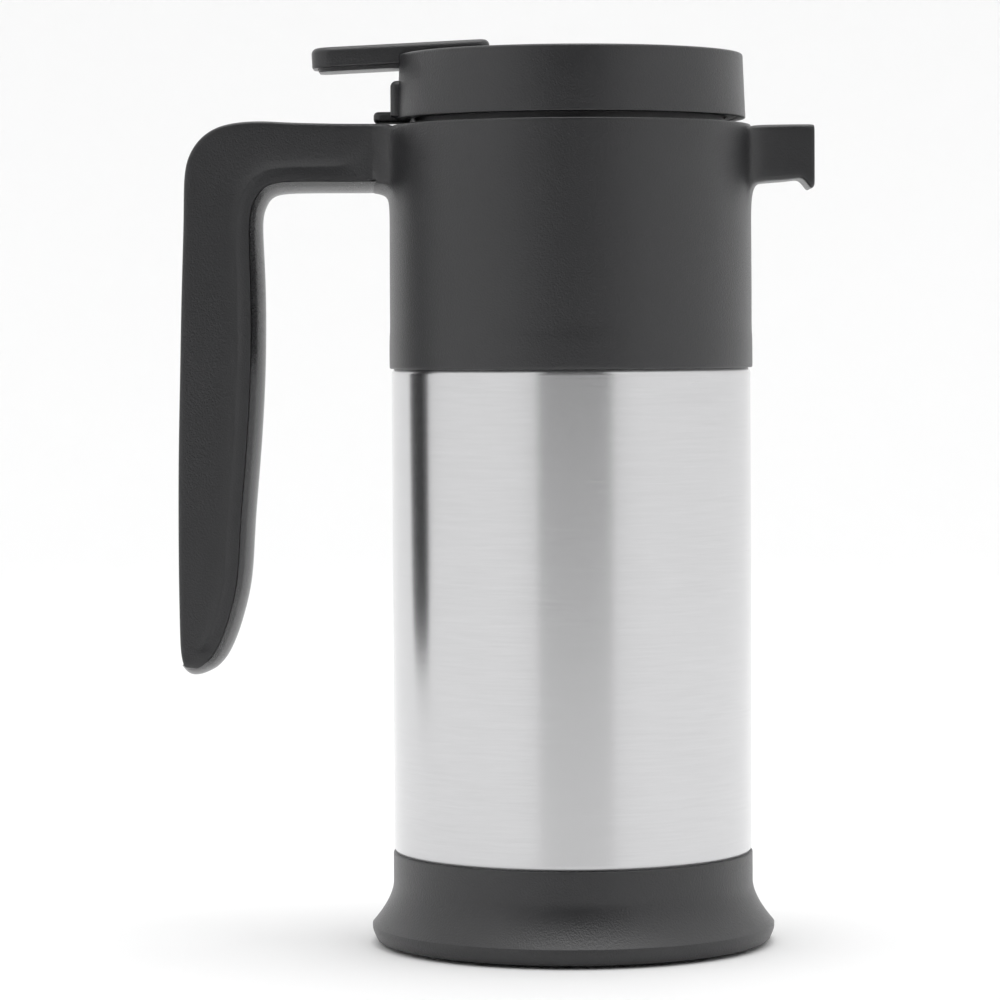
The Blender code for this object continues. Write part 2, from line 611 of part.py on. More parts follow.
def make_shoulder(boss_places, flange_top, material):
    edge = 0.0009
    low_radius = BODY_RADIUS + 0.0001
    top_radius = BODY_RADIUS - SHOULDER_TAPER + 0.0001
    shoulder = turned_solid("shoulder_housing", [
        (0, SHOULDER_TOP), (top_radius - edge, SHOULDER_TOP), (top_radius - edge * 0.3, SHOULDER_TOP - edge * 0.3),
        (top_radius, SHOULDER_TOP - edge), (low_radius, SHOULDER_Z + edge), (low_radius - edge, SHOULDER_Z),
        (0, SHOULDER_Z)], material)
    handle = loft("handle body", handle_rings(0, 0, HANDLE_COVER_DEPTH + GAP, HANDLE_HALF_WIDTH, HANDLE_ROUNDING,
                                              True, False))
    add(shoulder, handle, loft("spout body", spout_rings()))

    inner = BODY_RADIUS - SHOULDER_WALL
    ceiling = SHOULDER_TOP - SHOULDER_WALL
    ledge = SHOULDER_Z + SLEEVE_INSERT + GAP
    above = SHOULDER_TOP + 0.004
    below = SHOULDER_Z - 0.005
    cut(shoulder, turned_solid("shoulder cavity", [
        (0, above), (MOUTH_RADIUS, above), (MOUTH_RADIUS, ceiling), (inner, ceiling), (inner, ledge),
        (SLEEVE_END_RADIUS + GAP, ledge), (SLEEVE_END_RADIUS + GAP, below), (0, below)]))
    boss_radius = SMALL_SCREW_RADIUS + GAP + 0.0013
    mouth = rod("mouth", MOUTH_RADIUS, (0, 0, flange_top - 0.004), (0, 0, above), sides=VISIBLE_SIDES * 2)
    for number, (x, y) in enumerate(boss_places, 1):
        boss = rod(f"shoulder boss {number}", boss_radius, (x, y, flange_top + GAP), (x, y, ceiling + 0.001),
                   sides=16)
        cut(boss, mouth, rod(f"shoulder bore {number}", SMALL_SCREW_RADIUS + GAP, (x, y, flange_top),
                             (x, y, flange_top + 0.0090), sides=12))
        add(shoulder, boss)
    fit = NOZZLE_HALF_WIDTH + GAP
    cut(shoulder, block("nozzle slot", (MOUTH_RADIUS, -fit, NOZZLE_Z - GAP),
                        (SPOUT_END_X + 0.004, fit, NOZZLE_Z + NOZZLE_HEIGHT + GAP)))
    channel = HANDLE_HALF_WIDTH - HANDLE_WALL
    cut(shoulder, loft("handle channel",
                       handle_rings(3, HANDLE_WALL, HANDLE_COVER_DEPTH - 0.0010, channel, 0, False, False)[:-3]))


def make_handle_cover(material):
    rings = handle_rings(2, -HANDLE_COVER_DEPTH, 0, HANDLE_HALF_WIDTH, HANDLE_COVER_ROUNDING, False, True)
    loft("handle_cover", rings, material)


# ---- stopper and valve --------------------------------------------------------------
def make_stopper(plastic, rubber, steel):
    skirt_bore = SKIRT_RADIUS - SKIRT_WALL
    floor_top = STOPPER_FLOOR_Z + STOPPER_FLOOR
    guide_radius = STEM_RADIUS + GAP + 0.0022
    seal_z = FUNNEL_SEAT + 0.0010
    seal_top = seal_z + SEAL_HEIGHT
    lip = PLUG_RADIUS + 0.0012
    above = seal_top + GAP
    below = seal_z - GAP
    body = turned("stopper_body", [
        (SKIRT_RADIUS, SKIRT_TOP), (SKIRT_RADIUS, STOPPER_FLOOR_Z), (PLUG_RADIUS, STOPPER_FLOOR_Z),
        (PLUG_RADIUS, above + SEAL_COLLAR), (lip, above + SEAL_COLLAR), (lip, above), (PLUG_RADIUS, above),
        (PLUG_RADIUS, below), (lip, below), (lip, below - SEAL_COLLAR), (PLUG_RADIUS, below - SEAL_COLLAR),
        (PLUG_RADIUS, PLUG_Z), (VALVE_HOLE_RADIUS, PLUG_Z), (VALVE_HOLE_RADIUS, SEAT_TOP),
        (PLUG_BORE, SEAT_TOP), (PLUG_BORE, STOPPER_FLOOR_Z), (guide_radius + GAP, STOPPER_FLOOR_Z),
        (guide_radius + GAP, floor_top), (skirt_bore, floor_top), (skirt_bore, SKIRT_TOP)], plastic)
    offset = THREAD_LEAD / THREAD_STARTS / 2
    add(body, *thread("stopper", thread_base() - offset + 0.0040, 90 + 360 / THREAD_STARTS / 2,
                      SKIRT_RADIUS - 0.0008, SKIRT_RADIUS + THREAD_DEPTH))
    window_top = STOPPER_FLOOR_Z - 0.0020
    half = PLUG_WINDOW_WIDTH / 2
    reach = PLUG_RADIUS + 0.003
    for name, far_x, far_y in (("windows x", reach, half), ("windows y", half, reach)):
        cut(body, block(name, (-far_x, -far_y, window_top - PLUG_WINDOW_HEIGHT), (far_x, far_y, window_top)))

    places = around((PLUG_RADIUS + skirt_bore) / 2, 90)
    column_z = floor_top + GAP
    for number, (x, y) in enumerate(places, 1):
        cut(body, rod(f"stopper hole {number}", SCREW_RADIUS + GAP, (x, y, STOPPER_FLOOR_Z - 0.001),
                      (x, y, floor_top + 0.001), sides=16))
    screw_ring("lid_screw", places,
               screw_outline(STOPPER_FLOOR_Z - GAP - SCREW_HEAD_HEIGHT, SCREW_HEAD_HEIGHT, SCREW_HEAD_RADIUS,
                             SCREW_RADIUS, column_z + 0.0110), steel)

    lips = 0.0008
    turned("stopper_seal", [
        (SEAL_RADIUS - lips, seal_top), (SEAL_RADIUS, seal_top - lips), (SEAL_RADIUS, seal_top - 2 * lips),
        (SEAL_RADIUS - lips, seal_top - 3 * lips), (SEAL_RADIUS, seal_z + 2 * lips), (SEAL_RADIUS, seal_z + lips),
        (SEAL_RADIUS - lips, seal_z), (PLUG_RADIUS + GAP, seal_z), (PLUG_RADIUS + GAP, seal_top)], rubber)

    guide_bore = STEM_RADIUS + GAP
    turned("stem_guide", [
        (guide_radius + 0.0022, floor_top + GAP + 0.0015), (guide_radius + 0.0022, floor_top + GAP),
        (guide_radius, floor_top + GAP), (guide_radius, STOPPER_FLOOR_Z - 0.0004),
        (guide_bore, STOPPER_FLOOR_Z - 0.0004), (guide_bore, floor_top + GAP + 0.0015)], plastic, HIDDEN_SIDES)
    return places, column_z


def make_valve(steel, rubber):
    washer_top = DISC_Z - GAP
    washer_z = SEAT_TOP + GAP
    stem_top = NUT_Z + NUT_HEIGHT
    turned_solid("valve_stem", [
        (0, stem_top), (STEM_RADIUS * 0.7, stem_top), (STEM_RADIUS, stem_top - 0.0008), (STEM_RADIUS, DISC_TOP),
        (VALVE_DISC_RADIUS, DISC_TOP), (VALVE_DISC_RADIUS, DISC_Z), (STEM_RADIUS, DISC_Z),
        (STEM_RADIUS, washer_z), (0, washer_z)], steel, HIDDEN_SIDES)
    turned("valve_seal", [(VALVE_DISC_RADIUS - 0.0002, washer_top), (VALVE_DISC_RADIUS - 0.0002, washer_z),
                          (STEM_RADIUS + GAP, washer_z), (STEM_RADIUS + GAP, washer_top)], rubber, HIDDEN_SIDES)
    turned("stem_nut", [(NUT_RADIUS, stem_top - 0.0002), (NUT_RADIUS, NUT_Z), (STEM_RADIUS + GAP, NUT_Z),
                        (STEM_RADIUS + GAP, stem_top - 0.0002)], steel, HIDDEN_SIDES)


def make_spring(material):
    """Coil spring between the valve disc and the stem guide."""
    per_turn = 10
    low = DISC_TOP + GAP + SPRING_WIRE / 2
    high = STOPPER_FLOOR_Z - 0.0004 - GAP - SPRING_WIRE / 2
    count = SPRING_TURNS * per_turn + 1
    curve = bpy.data.curves.new("return_spring", "CURVE")
    curve.dimensions = "3D"
    curve.bevel_depth = SPRING_WIRE / 2
    curve.bevel_resolution = 1
    curve.use_fill_caps = True
    line = curve.splines.new("POLY")
    line.points.add(count - 1)
    for number, point in enumerate(line.points):
        turn = tau * number / per_turn
        z = low + (high - low) * number / (count - 1)
        point.co = (SPRING_RADIUS * cos(turn), SPRING_RADIUS * sin(turn), z, 1)
    spring = bpy.data.objects.new("return_spring", curve)
    CARAFE.objects.link(spring)
    curve.materials.append(material)
    return spring


# ---- lid and lever -------------------------------------------------------------------
def make_lid(column_places, column_z, plastic, steel):
    top_radius = LID_RADIUS - LID_TAPER
    edge = 0.0009
    inner = LID_RADIUS - LID_WALL
    lid = turned_solid("lid_cap", [
        (0, LID_TOP), (top_radius - edge, LID_TOP), (top_radius - edge * 0.3, LID_TOP - edge * 0.3),
        (top_radius, LID_TOP - edge), (LID_RADIUS, LID_Z + 0.0005), (LID_RADIUS - 0.0005, LID_Z), (inner, LID_Z),
        (inner - LID_TAPER, PLATE_Z), (0, PLATE_Z)], plastic)
    well_floor = PIVOT.z - HUB_RADIUS - RUNNING_GAP
    well_side = WELL_HALF_WIDTH + WELL_WALL
    well_far = WELL_END_X + WELL_WALL
    add(lid, block("well", (-inner, -well_side, well_floor - WELL_WALL), (well_far, well_side, LID_TOP - 0.0010)))
    pad_x = -LID_RADIUS - PAD_REACH
    pad_low = LID_Z + 0.0026
    add(lid, slab("back pad", [(-inner + 0.0004, pad_low), (-inner + 0.0004, well_floor), (pad_x + 0.0016, well_floor),
                               (pad_x, well_floor - 0.0020), (pad_x, pad_low)], PAD_HALF_WIDTH))
    for number, (x, y) in enumerate(column_places, 1):
        add(lid, rod(f"column {number}", SCREW_RADIUS + GAP + BOSS_WALL * 0.8, (x, y, column_z),
                     (x, y, PLATE_Z + 0.001), sides=16))
    cut(lid, block("lever slot", (-LID_RADIUS - 0.010, -WELL_HALF_WIDTH, well_floor),
                   (WELL_END_X, WELL_HALF_WIDTH, LID_TOP + 0.004)))
    arm_slot = TONGUE_HALF_WIDTH + RUNNING_GAP
    cut(lid, block("arm slot", (PIVOT_X + 0.0030, -arm_slot, well_floor - 0.004),
                   (well_far + 0.001, arm_slot, PLATE_Z)))
    cut(lid, rod("pin bore", PIN_RADIUS + GAP, (PIVOT_X, -well_side - 0.001, PIVOT.z),
                 (PIVOT_X, well_side + 0.001, PIVOT.z), sides=16))
    for number, (x, y) in enumerate(column_places, 1):
        cut(lid, rod(f"column bore {number}", SCREW_RADIUS + GAP, (x, y, column_z - 0.001), (x, y, column_z + 0.0122),
                     sides=12))
    tab_low = SHOULDER_TOP + 0.0004
    tab_top = tab_low + TAB_THICKNESS
    cut(lid, block("tab notch", (-LID_RADIUS - 0.001, -TAB_HALF_WIDTH - GAP, LID_Z - 0.001),
                   (-inner + 0.002, TAB_HALF_WIDTH + GAP, tab_top + GAP)))

    ring_z = LID_Z + GAP
    ring_top = ring_z + 0.0021
    ring_outside = inner - GAP
    ring_bore = MOUTH_RADIUS + GAP
    ring = turned("lid_base_ring", [(ring_outside, ring_top), (ring_outside, ring_z), (ring_bore, ring_z),
                                    (ring_bore, ring_top)], plastic)
    tab_end = -LID_RADIUS - TAB_REACH
    add(ring, slab("tab", [(-ring_bore - 0.0006, tab_top), (-ring_bore - 0.0006, tab_low), (tab_end + 0.0010, tab_low),
                           (tab_end, tab_low + 0.0010), (tab_end, tab_top - 0.0012), (tab_end + 0.0012, tab_top)],
                   TAB_HALF_WIDTH))

    pin_end = well_side + 0.0004
    rod("lever_pin", PIN_RADIUS, (PIVOT_X, -pin_end, PIVOT.z), (PIVOT_X, pin_end, PIVOT.z), steel, sides=16)


def make_lever(plastic):
    """Both lever pieces, drawn level round the pin axis and then tilted."""
    low = COVER_ABOVE_PIN
    high = low + COVER_HEIGHT
    ease = 0.0012
    cover = slab("lever_cover", [
        (-LEVER_THUMB_REACH, low + ease), (-LEVER_THUMB_REACH + ease, low), (LEVER_NOSE_REACH - ease, low),
        (LEVER_NOSE_REACH, low + ease), (LEVER_NOSE_REACH, high - 2 * ease), (LEVER_NOSE_REACH - ease / 2, high - ease / 2),
        (LEVER_NOSE_REACH - 2 * ease, high), (2 * ease - LEVER_THUMB_REACH, high),
        (ease / 2 - LEVER_THUMB_REACH, high - ease / 2), (-LEVER_THUMB_REACH, high - 2 * ease)],
        LEVER_HALF_WIDTH, plastic)
    pocket = COVER_WALL
    pocket_top = high - COVER_WALL - 0.0005
    hollow = block("cover pocket", (-LEVER_THUMB_REACH + pocket, pocket - LEVER_HALF_WIDTH, low - 0.002),
                   (LEVER_NOSE_REACH - pocket, LEVER_HALF_WIDTH - pocket, pocket_top))
    cut(cover, hollow)

    core_side = LEVER_HALF_WIDTH - pocket - GAP
    core_low = low - CORE_DROP
    arm = block("lever_arm", (-LEVER_THUMB_REACH + pocket + GAP, -core_side, core_low),
                (LEVER_NOSE_REACH - pocket - GAP, core_side, pocket_top - GAP), plastic)
    hub = rod("hub", HUB_RADIUS, (0, -core_side, 0), (0, core_side, 0), sides=20)
    lift = LEVER_REACH * sin(radians(LEVER_TILT))
    fork_top = (NUT_Z - FORK_PLAY - PIVOT.z) - lift
    fork_low = fork_top - FORK_THICKNESS
    fork_end = LEVER_REACH + 0.0042
    tongue = slab("tongue", [
        (-0.0010, 0.0020), (0.0090, 0.0010), (0.0140, -0.0016), (LEVER_REACH - 0.0110, fork_top + 0.0020),
        (LEVER_REACH - 0.0050, fork_top), (fork_end, fork_top), (fork_end, fork_low),
        (LEVER_REACH - 0.0070, fork_low), (LEVER_REACH - 0.0140, fork_low + 0.0020), (0.0090, -0.0032),
        (-0.0010, -0.0020)], TONGUE_HALF_WIDTH)
    bore = rod("hub bore", PIN_RADIUS + GAP, (0, -LEVER_HALF_WIDTH, 0), (0, LEVER_HALF_WIDTH, 0), sides=16)
    fork_gap = STEM_RADIUS + RUNNING_GAP
    fork_root = LEVER_REACH - STEM_RADIUS - 0.0021
    slot = block("fork slot", (fork_root, -fork_gap, fork_low - 0.004), (fork_end + 0.004, fork_gap, fork_top + 0.004))
    add(arm, hub, tongue)
    cut(arm, bore, slot)
    return cover, arm, hollow, hub, tongue, bore, slot


def hang(name, location, pieces, tilt=0.0):
    """Hang pieces on an empty that sits on their joint's axis."""
    axis = bpy.data.objects.new(name, None)
    axis.empty_display_size = 0.01
    axis.location = location
    CARAFE.objects.link(axis)
    for piece in pieces:
        piece.parent = axis
        if tilt:
            piece.rotation_euler.y = -radians(tilt)
        else:
            piece.matrix_parent_inverse = Matrix.Translation(-Vector(location))


def main():
    charcoal = finish("charcoal plastic", (0.035, 0.035, 0.038), 0.5)
    inner_plastic = finish("grey polypropylene", (0.16, 0.16, 0.17), 0.5)
    steel = finish("brushed stainless steel", (0.62, 0.61, 0.59), 0.3, 1.0)
    bright_steel = finish("polished steel", (0.66, 0.66, 0.66), 0.2, 1.0)
    rubber = finish("black elastomer", (0.02, 0.02, 0.02), 0.75)
    silicone = finish("grey silicone", (0.30, 0.30, 0.30), 0.6)
    glass = finish("silvered glass", (0.75, 0.76, 0.78), 0.08, 0.9)

    corner_z = make_base(charcoal, rubber, bright_steel)
    make_liner(corner_z, glass)
    make_sleeve(steel)
    boss_places, flange_top = make_funnel(inner_plastic, silicone, bright_steel)
    make_shoulder(boss_places, flange_top, charcoal)
    make_handle_cover(charcoal)
    column_places, column_z = make_stopper(inner_plastic, silicone, bright_steel)
    make_lid(column_places, column_z, charcoal, bright_steel)
    lever = make_lever(charcoal)
    make_valve(bright_steel, silicone)
    spring = make_spring(bright_steel)

    objects = CARAFE.objects
    turning = ["lid_cap", "lid_base_ring", "lid_screw_1", "lid_screw_2", "lid_screw_3", "stopper_body",
               "stem_guide", "lever_pin", "stopper_seal"]
    hang("lid axis", (0, 0, SHOULDER_TOP), [objects[name] for name in turning])
    hang("valve axis", (0, 0, DISC_Z), [objects["valve_stem"], objects["valve_seal"], objects["stem_nut"], spring])
    hang("lever axis", PIVOT, lever, LEVER_TILT)


for leftover in list(bpy.data.objects):
    bpy.data.objects.remove(leftover)
CARAFE = new_collection("thermal carafe")
CUTTERS = new_collection("cutters")
main()
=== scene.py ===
"""Insulated one-litre carafe with a thumb-lever pouring valve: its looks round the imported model."""
from math import cos, pi, radians, sin, sqrt, tau

import bmesh
import bpy
from mathutils import Matrix, Vector


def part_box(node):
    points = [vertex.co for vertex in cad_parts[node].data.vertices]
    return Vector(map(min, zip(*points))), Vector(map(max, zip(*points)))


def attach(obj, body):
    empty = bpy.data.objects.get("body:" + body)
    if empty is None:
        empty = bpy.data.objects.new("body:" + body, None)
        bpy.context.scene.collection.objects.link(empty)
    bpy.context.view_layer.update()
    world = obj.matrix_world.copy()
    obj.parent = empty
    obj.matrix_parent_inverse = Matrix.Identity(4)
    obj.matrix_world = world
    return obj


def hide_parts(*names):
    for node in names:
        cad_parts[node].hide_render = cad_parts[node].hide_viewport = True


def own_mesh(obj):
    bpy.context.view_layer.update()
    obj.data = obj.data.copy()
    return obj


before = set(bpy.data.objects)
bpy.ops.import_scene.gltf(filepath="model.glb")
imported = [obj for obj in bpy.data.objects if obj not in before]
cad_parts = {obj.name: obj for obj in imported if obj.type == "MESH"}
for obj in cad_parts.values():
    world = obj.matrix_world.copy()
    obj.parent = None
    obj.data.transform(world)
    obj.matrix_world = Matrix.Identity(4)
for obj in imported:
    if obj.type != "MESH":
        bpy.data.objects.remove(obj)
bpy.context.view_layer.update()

bl_info = {
    "name": "Thermal carafe",
    "version": (1, 0, 0),
    "blender": (4, 5, 0),
    "location": "3D View > Sidebar > Carafe",
    "description": "Builds the finished pieces of an insulated carafe round its CAD frame",
    "category": "Object",
}

MM = 0.001
SHOWN_SIDES = 160            # facets round a large turned piece
SMALL_SIDES = 64             # facets round a small one
SEAM = 0.0003                # gap that touching pieces keep
REBATE_RADIUS = 0.0510       # recess in foot and shoulder for the steel's drawn-in ends
SHOULDER_DRAFT = 0.0003      # how much the shoulder narrows towards its top
ARM_DEPTH = 0.0196           # the handle's arm, from its top to its finger side
THREAD_STARTS = 3
THREAD_LEAD = 0.0240         # rise of the lid's thread in one turn
THREAD_SWEEP = radians(90)   # turn that each thread ridge covers
THREAD_WIDTH = 0.0025
COLUMN_FOOT = 0.0087         # how far the lid's screw columns reach below the stopper's rim
SCREW_HOLE = 0.0018
PIN_BORE = 0.0017


def reach(node):
    """How far a turned node reaches from the carafe's axis."""
    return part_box(node)[1].y


def low(node):
    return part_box(node)[0].z


def high(node):
    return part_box(node)[1].z


def fastened(node):
    """Each of a ring of three screws: its number, the middle of its box, and the box."""
    for number in (1, 2, 3):
        least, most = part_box(f"{node}_{number}")
        yield number, (least + most) / 2, least, most


def hinge():
    """Where the lever's pin lies, along the carafe and up."""
    least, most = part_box("lever_pin")
    return (least.x + most.x) / 2, (least.z + most.z) / 2


# ---- sizes and colours a user may change -----------------------------------------------
def length(name, default, about):
    return bpy.props.FloatProperty(name=name, description=about, default=default, subtype="DISTANCE",
                                   unit="LENGTH")


def amount(name, default, about, least=0.0, most=1.0):
    return bpy.props.FloatProperty(name=name, description=about, default=default, min=least, max=most,
                                   subtype="FACTOR")


def colour(name, default, about):
    return bpy.props.FloatVectorProperty(name=name, description=about, default=default, min=0, max=1, size=3,
                                         subtype="COLOR")


class CarafeBodySizes(bpy.types.PropertyGroup):
    body_radius: length("Body radius", 0.0522, "Radius of the plastic foot's top and of the shoulder")
    foot_top: length("Foot height", 0.0263, "Height of the foot's upper edge")
    foot_edge: length("Foot edge", 0.0006, "Softness of the foot's upper edge")
    flare_height: length("Flare height", 0.0176, "Height at which the foot starts to spread")
    flare_power: bpy.props.FloatProperty(name="Flare power", description="How late the foot's flare swings out",
                                         default=1.7, min=1, max=4)
    sleeve_radius: length("Steel radius", 0.0519, "Outer radius of the steel sleeve")
    shoulder_radius: length("Shoulder radius", 0.0526, "Outer radius of the shoulder")
    shoulder_low: length("Shoulder foot", 0.1664, "Height of the shoulder's lower edge")
    shoulder_top: length("Shoulder top", 0.2363, "Height of the shoulder's top")
    arm_top: length("Arm top", 0.2368, "Height of the handle's arm")
    shoulder_wall: length("Shoulder wall", 0.0024, "Thickness of the shoulder's wall")
    shoulder_edge: length("Shoulder edge", 0.0009, "Softness of the shoulder's edges")
    mouth_radius: length("Mouth radius", 0.0450, "Opening in the shoulder's top")


class CarafeHandleSizes(bpy.types.PropertyGroup):
    half_width: length("Half width", 0.0120, "Half the handle's width")
    edge: length("Outer edge", 0.0019, "Softness of the handle's outer edges")
    arm_cover_depth: length("Cover depth under the arm", 0.0030, "Depth of the cover where it starts at the body")
    cover_depth: length("Cover depth", 0.0037, "Depth of the cover on the finger side of the grip")
    strip_width: length("Strip width", 0.0042, "Strip between the side's groove and the cover")
    strip_inset: length("Strip inset", 0.00035, "How far the strip lies inside the side")
    groove_depth: length("Groove depth", 0.0010, "Depth of the groove in the handle's side")
    root_spread: length("Root spread", 0.0036, "How much the arm widens where it meets the shoulder")
    seam: length("Seam", 0.0001, "Gap between the handle and its cover")


class CarafeLidSizes(bpy.types.PropertyGroup):
    lower_edge: length("Lower edge", 0.2381, "Height of the lid's lower edge")
    radius: length("Lid radius", 0.0507, "Radius of the lid's lower edge")
    taper: length("Taper", 0.0008, "How much the lid narrows towards its top")
    edge: length("Edge", 0.0009, "Softness of the lid's upper edge")
    wall: length("Wall", 0.0020, "Thickness of the lid's shell")
    well_half_width: length("Well half width", 0.0103, "Half the width of the lever's well")
    lever_tilt: bpy.props.FloatProperty(name="Lever tilt", description="Tilt of the lever at rest, thumb end low",
                                        default=radians(2.7), subtype="ANGLE", unit="ROTATION")
    thumb_corner: length("Thumb corner", 0.0058, "Corner radius of the lever's thumb end, seen from above")
    nose_corner: length("Nose corner", 0.0035, "Corner radius of the lever's nose, seen from above")


class CarafeColours(bpy.types.PropertyGroup):
    charcoal: colour("Charcoal", (0.0105, 0.0105, 0.0118), "Grained plastic of the shoulder, handle, foot and lid")
    inner_plastic: colour("Inner plastic", (0.035, 0.035, 0.037), "Polypropylene of the funnel and stopper")
    steel: colour("Brushed steel", (0.650, 0.650, 0.658), "Sleeve round the body")
    bright_steel: colour("Polished steel", (0.68, 0.68, 0.68), "Screws, pin, spring and valve")
    glass: colour("Silvered glass", (0.80, 0.81, 0.83), "Liner")
    silicone: colour("Silicone", (0.30, 0.30, 0.31), "Seals that touch the coffee")
    elastomer: colour("Elastomer", (0.020, 0.020, 0.021), "Non-slip pad and cushion")
    grain: length("Grain size", 0.00055, "Size of the plastic's moulded grain")
    grain_depth: amount("Grain depth", 0.55, "Strength of the plastic's moulded grain")
    brushing: amount("Brushing", 0.95, "How strongly the steel's brushing draws out its reflections")


# ---- finishes -----------------------------------------------------------------------
class Signal:
    """A node's output that Python's operators work on."""

    def __init__(self, tree, socket):
        self.tree = tree
        self.socket = socket

    def maths(self, operation, *values):
        node = self.tree.nodes.new("ShaderNodeMath")
        node.operation = operation
        for socket, value in zip(node.inputs, values):
            feed(self.tree, socket, value)
        return Signal(self.tree, node.outputs[0])

    def __add__(self, other):
        return self.maths("ADD", self, other)

    def __sub__(self, other):
        return self.maths("SUBTRACT", self, other)

    def __rsub__(self, other):
        return self.maths("SUBTRACT", other, self)

    def __mul__(self, other):
        return self.maths("MULTIPLY", self, other)

    def clamped(self):
        return self.maths("MINIMUM", self.maths("MAXIMUM", self, 0.0), 1.0)

    __radd__ = __add__
    __rmul__ = __mul__


def feed(tree, socket, value):
    """Join a signal to a socket, or set the socket's own value."""
    if isinstance(value, Signal):
        tree.links.new(value.socket, socket)
    else:
        socket.default_value = value


class Finish:
    """A material with one Principled shader, built up by expressions."""

    def __init__(self, name, **constants):
        self.material = bpy.data.materials.new(name)
        self.material.use_nodes = True
        self.tree = self.material.node_tree
        self.shader = self.tree.nodes["Principled BSDF"]
        for socket, value in constants.items():
            self.shader.inputs[socket.replace("_", " ")].default_value = value

    def node(self, kind, settings=None, sockets=None, output=0):
        node = self.tree.nodes.new(kind)
        for name, value in (settings or {}).items():
            setattr(node, name, value)
        for name, value in (sockets or {}).items():
            feed(self.tree, node.inputs[name], value)
        return Signal(self.tree, node.outputs[output])

    def place(self, stretch=(1, 1, 1)):
        """Object coordinates, scaled along each axis."""
        where = self.node("ShaderNodeTexCoord", output=3)
        return self.node("ShaderNodeMapping", sockets={"Vector": where, "Scale": stretch})

    def noise(self, where, size, detail=2.0, roughness=0.5):
        """Soft noise from 0 to 1 whose features are about one size across."""
        return self.node("ShaderNodeTexNoise", sockets={"Vector": where, "Scale": 1 / size, "Detail": detail,
                                                        "Roughness": roughness})

    def tint(self, factor, first, second):
        return self.node("ShaderNodeMix", {"data_type": "RGBA"}, {0: factor, 6: (*first, 1), 7: (*second, 1)},
                         output=2)

    def bump(self, height, strength, distance):
        return self.node("ShaderNodeBump", sockets={"Height": height, "Strength": strength, "Distance": distance})

    def wear(self, **signals):
        """Feed the shader's sockets."""
        for socket, value in signals.items():
            feed(self.tree, self.shader.inputs[socket.replace("_", " ")], value)
        return self.material


def shade(tone, share):
    """A colour made lighter or darker."""
    return tuple(min(1.0, channel * share) for channel in tone)


def moulded(name, tone, grain, depth, roughness, spread=0.06):
    """Grained moulding: fine pits, a little cloudiness in its gloss."""
    finish = Finish(name, IOR=1.60)
    where = finish.place()
    pits = finish.noise(where, grain, 3.0, 0.6)
    cloud = finish.noise(where, grain * 40, 3.0)
    sparkle = finish.noise(where, grain * 0.6, 1.0)
    gloss = (roughness - spread / 2) + cloud * spread + sparkle * 0.05
    base = finish.tint((cloud * 0.6 + pits * 0.5).clamped(), shade(tone, 0.66), shade(tone, 1.44))
    return finish.wear(Base_Color=base, Roughness=gloss, Normal=finish.bump(pits, depth, grain * 0.5))


def brushed(name, tone, brushing):
    """Steel brushed round its axis."""
    finish = Finish(name, Metallic=1.0, Anisotropic=brushing, Anisotropic_Rotation=0.25)
    fine = finish.noise(finish.place((1, 1, 70)), 0.0110, 4.0, 0.65)
    broad = finish.noise(finish.place((1, 1, 26)), 0.0240, 3.0, 0.6)
    patches = finish.noise(finish.place(), 0.0300, 2.0)
    streaks = fine * 0.65 + broad * 0.35
    base = finish.tint(streaks, shade(tone, 0.80), shade(tone, 1.16))
    gloss = 0.20 + streaks * 0.09 + patches * 0.02
    return finish.wear(Base_Color=base, Roughness=gloss, Normal=finish.bump(streaks, 0.25, 0.00006))


def polished(name, tone):
    """Turned or rolled steel with faint handling marks."""
    finish = Finish(name, Metallic=1.0)
    marks = finish.noise(finish.place((1, 1, 9)), 0.0012, 3.0, 0.6)
    cloud = finish.noise(finish.place(), 0.0040, 2.0)
    return finish.wear(Base_Color=finish.tint(cloud, shade(tone, 0.94), shade(tone, 1.05)),
                       Roughness=0.17 + marks * 0.10 + cloud * 0.04,
                       Normal=finish.bump(marks, 0.12, 0.00003))


def silvered(name, tone):
    """Glass with a mirror layer behind it, faintly uneven."""
    finish = Finish(name, Metallic=0.95, Coat_Weight=0.6, Coat_Roughness=0.03)
    ripple = finish.noise(finish.place((1, 1, 0.5)), 0.0180, 2.0)
    bloom = finish.noise(finish.place(), 0.0060, 4.0)
    return finish.wear(Base_Color=finish.tint(bloom, shade(tone, 0.93), shade(tone, 1.03)),
                       Roughness=0.06 + bloom * 0.05, Normal=finish.bump(ripple, 0.25, 0.0008))


def rubbery(name, tone, roughness, speck):
    """Soft matt rubber with a powdery surface."""
    finish = Finish(name, IOR=1.43, Sheen_Weight=0.12, Sheen_Roughness=0.5)
    where = finish.place()
    powder = finish.noise(where, speck, 3.0, 0.6)
    cloud = finish.noise(where, speck * 25, 2.0)
    return finish.wear(Base_Color=finish.tint(cloud, shade(tone, 0.88), shade(tone, 1.14)),
                       Roughness=(roughness - 0.05) + powder * 0.10,
                       Normal=finish.bump(powder, 0.25, speck * 0.4))


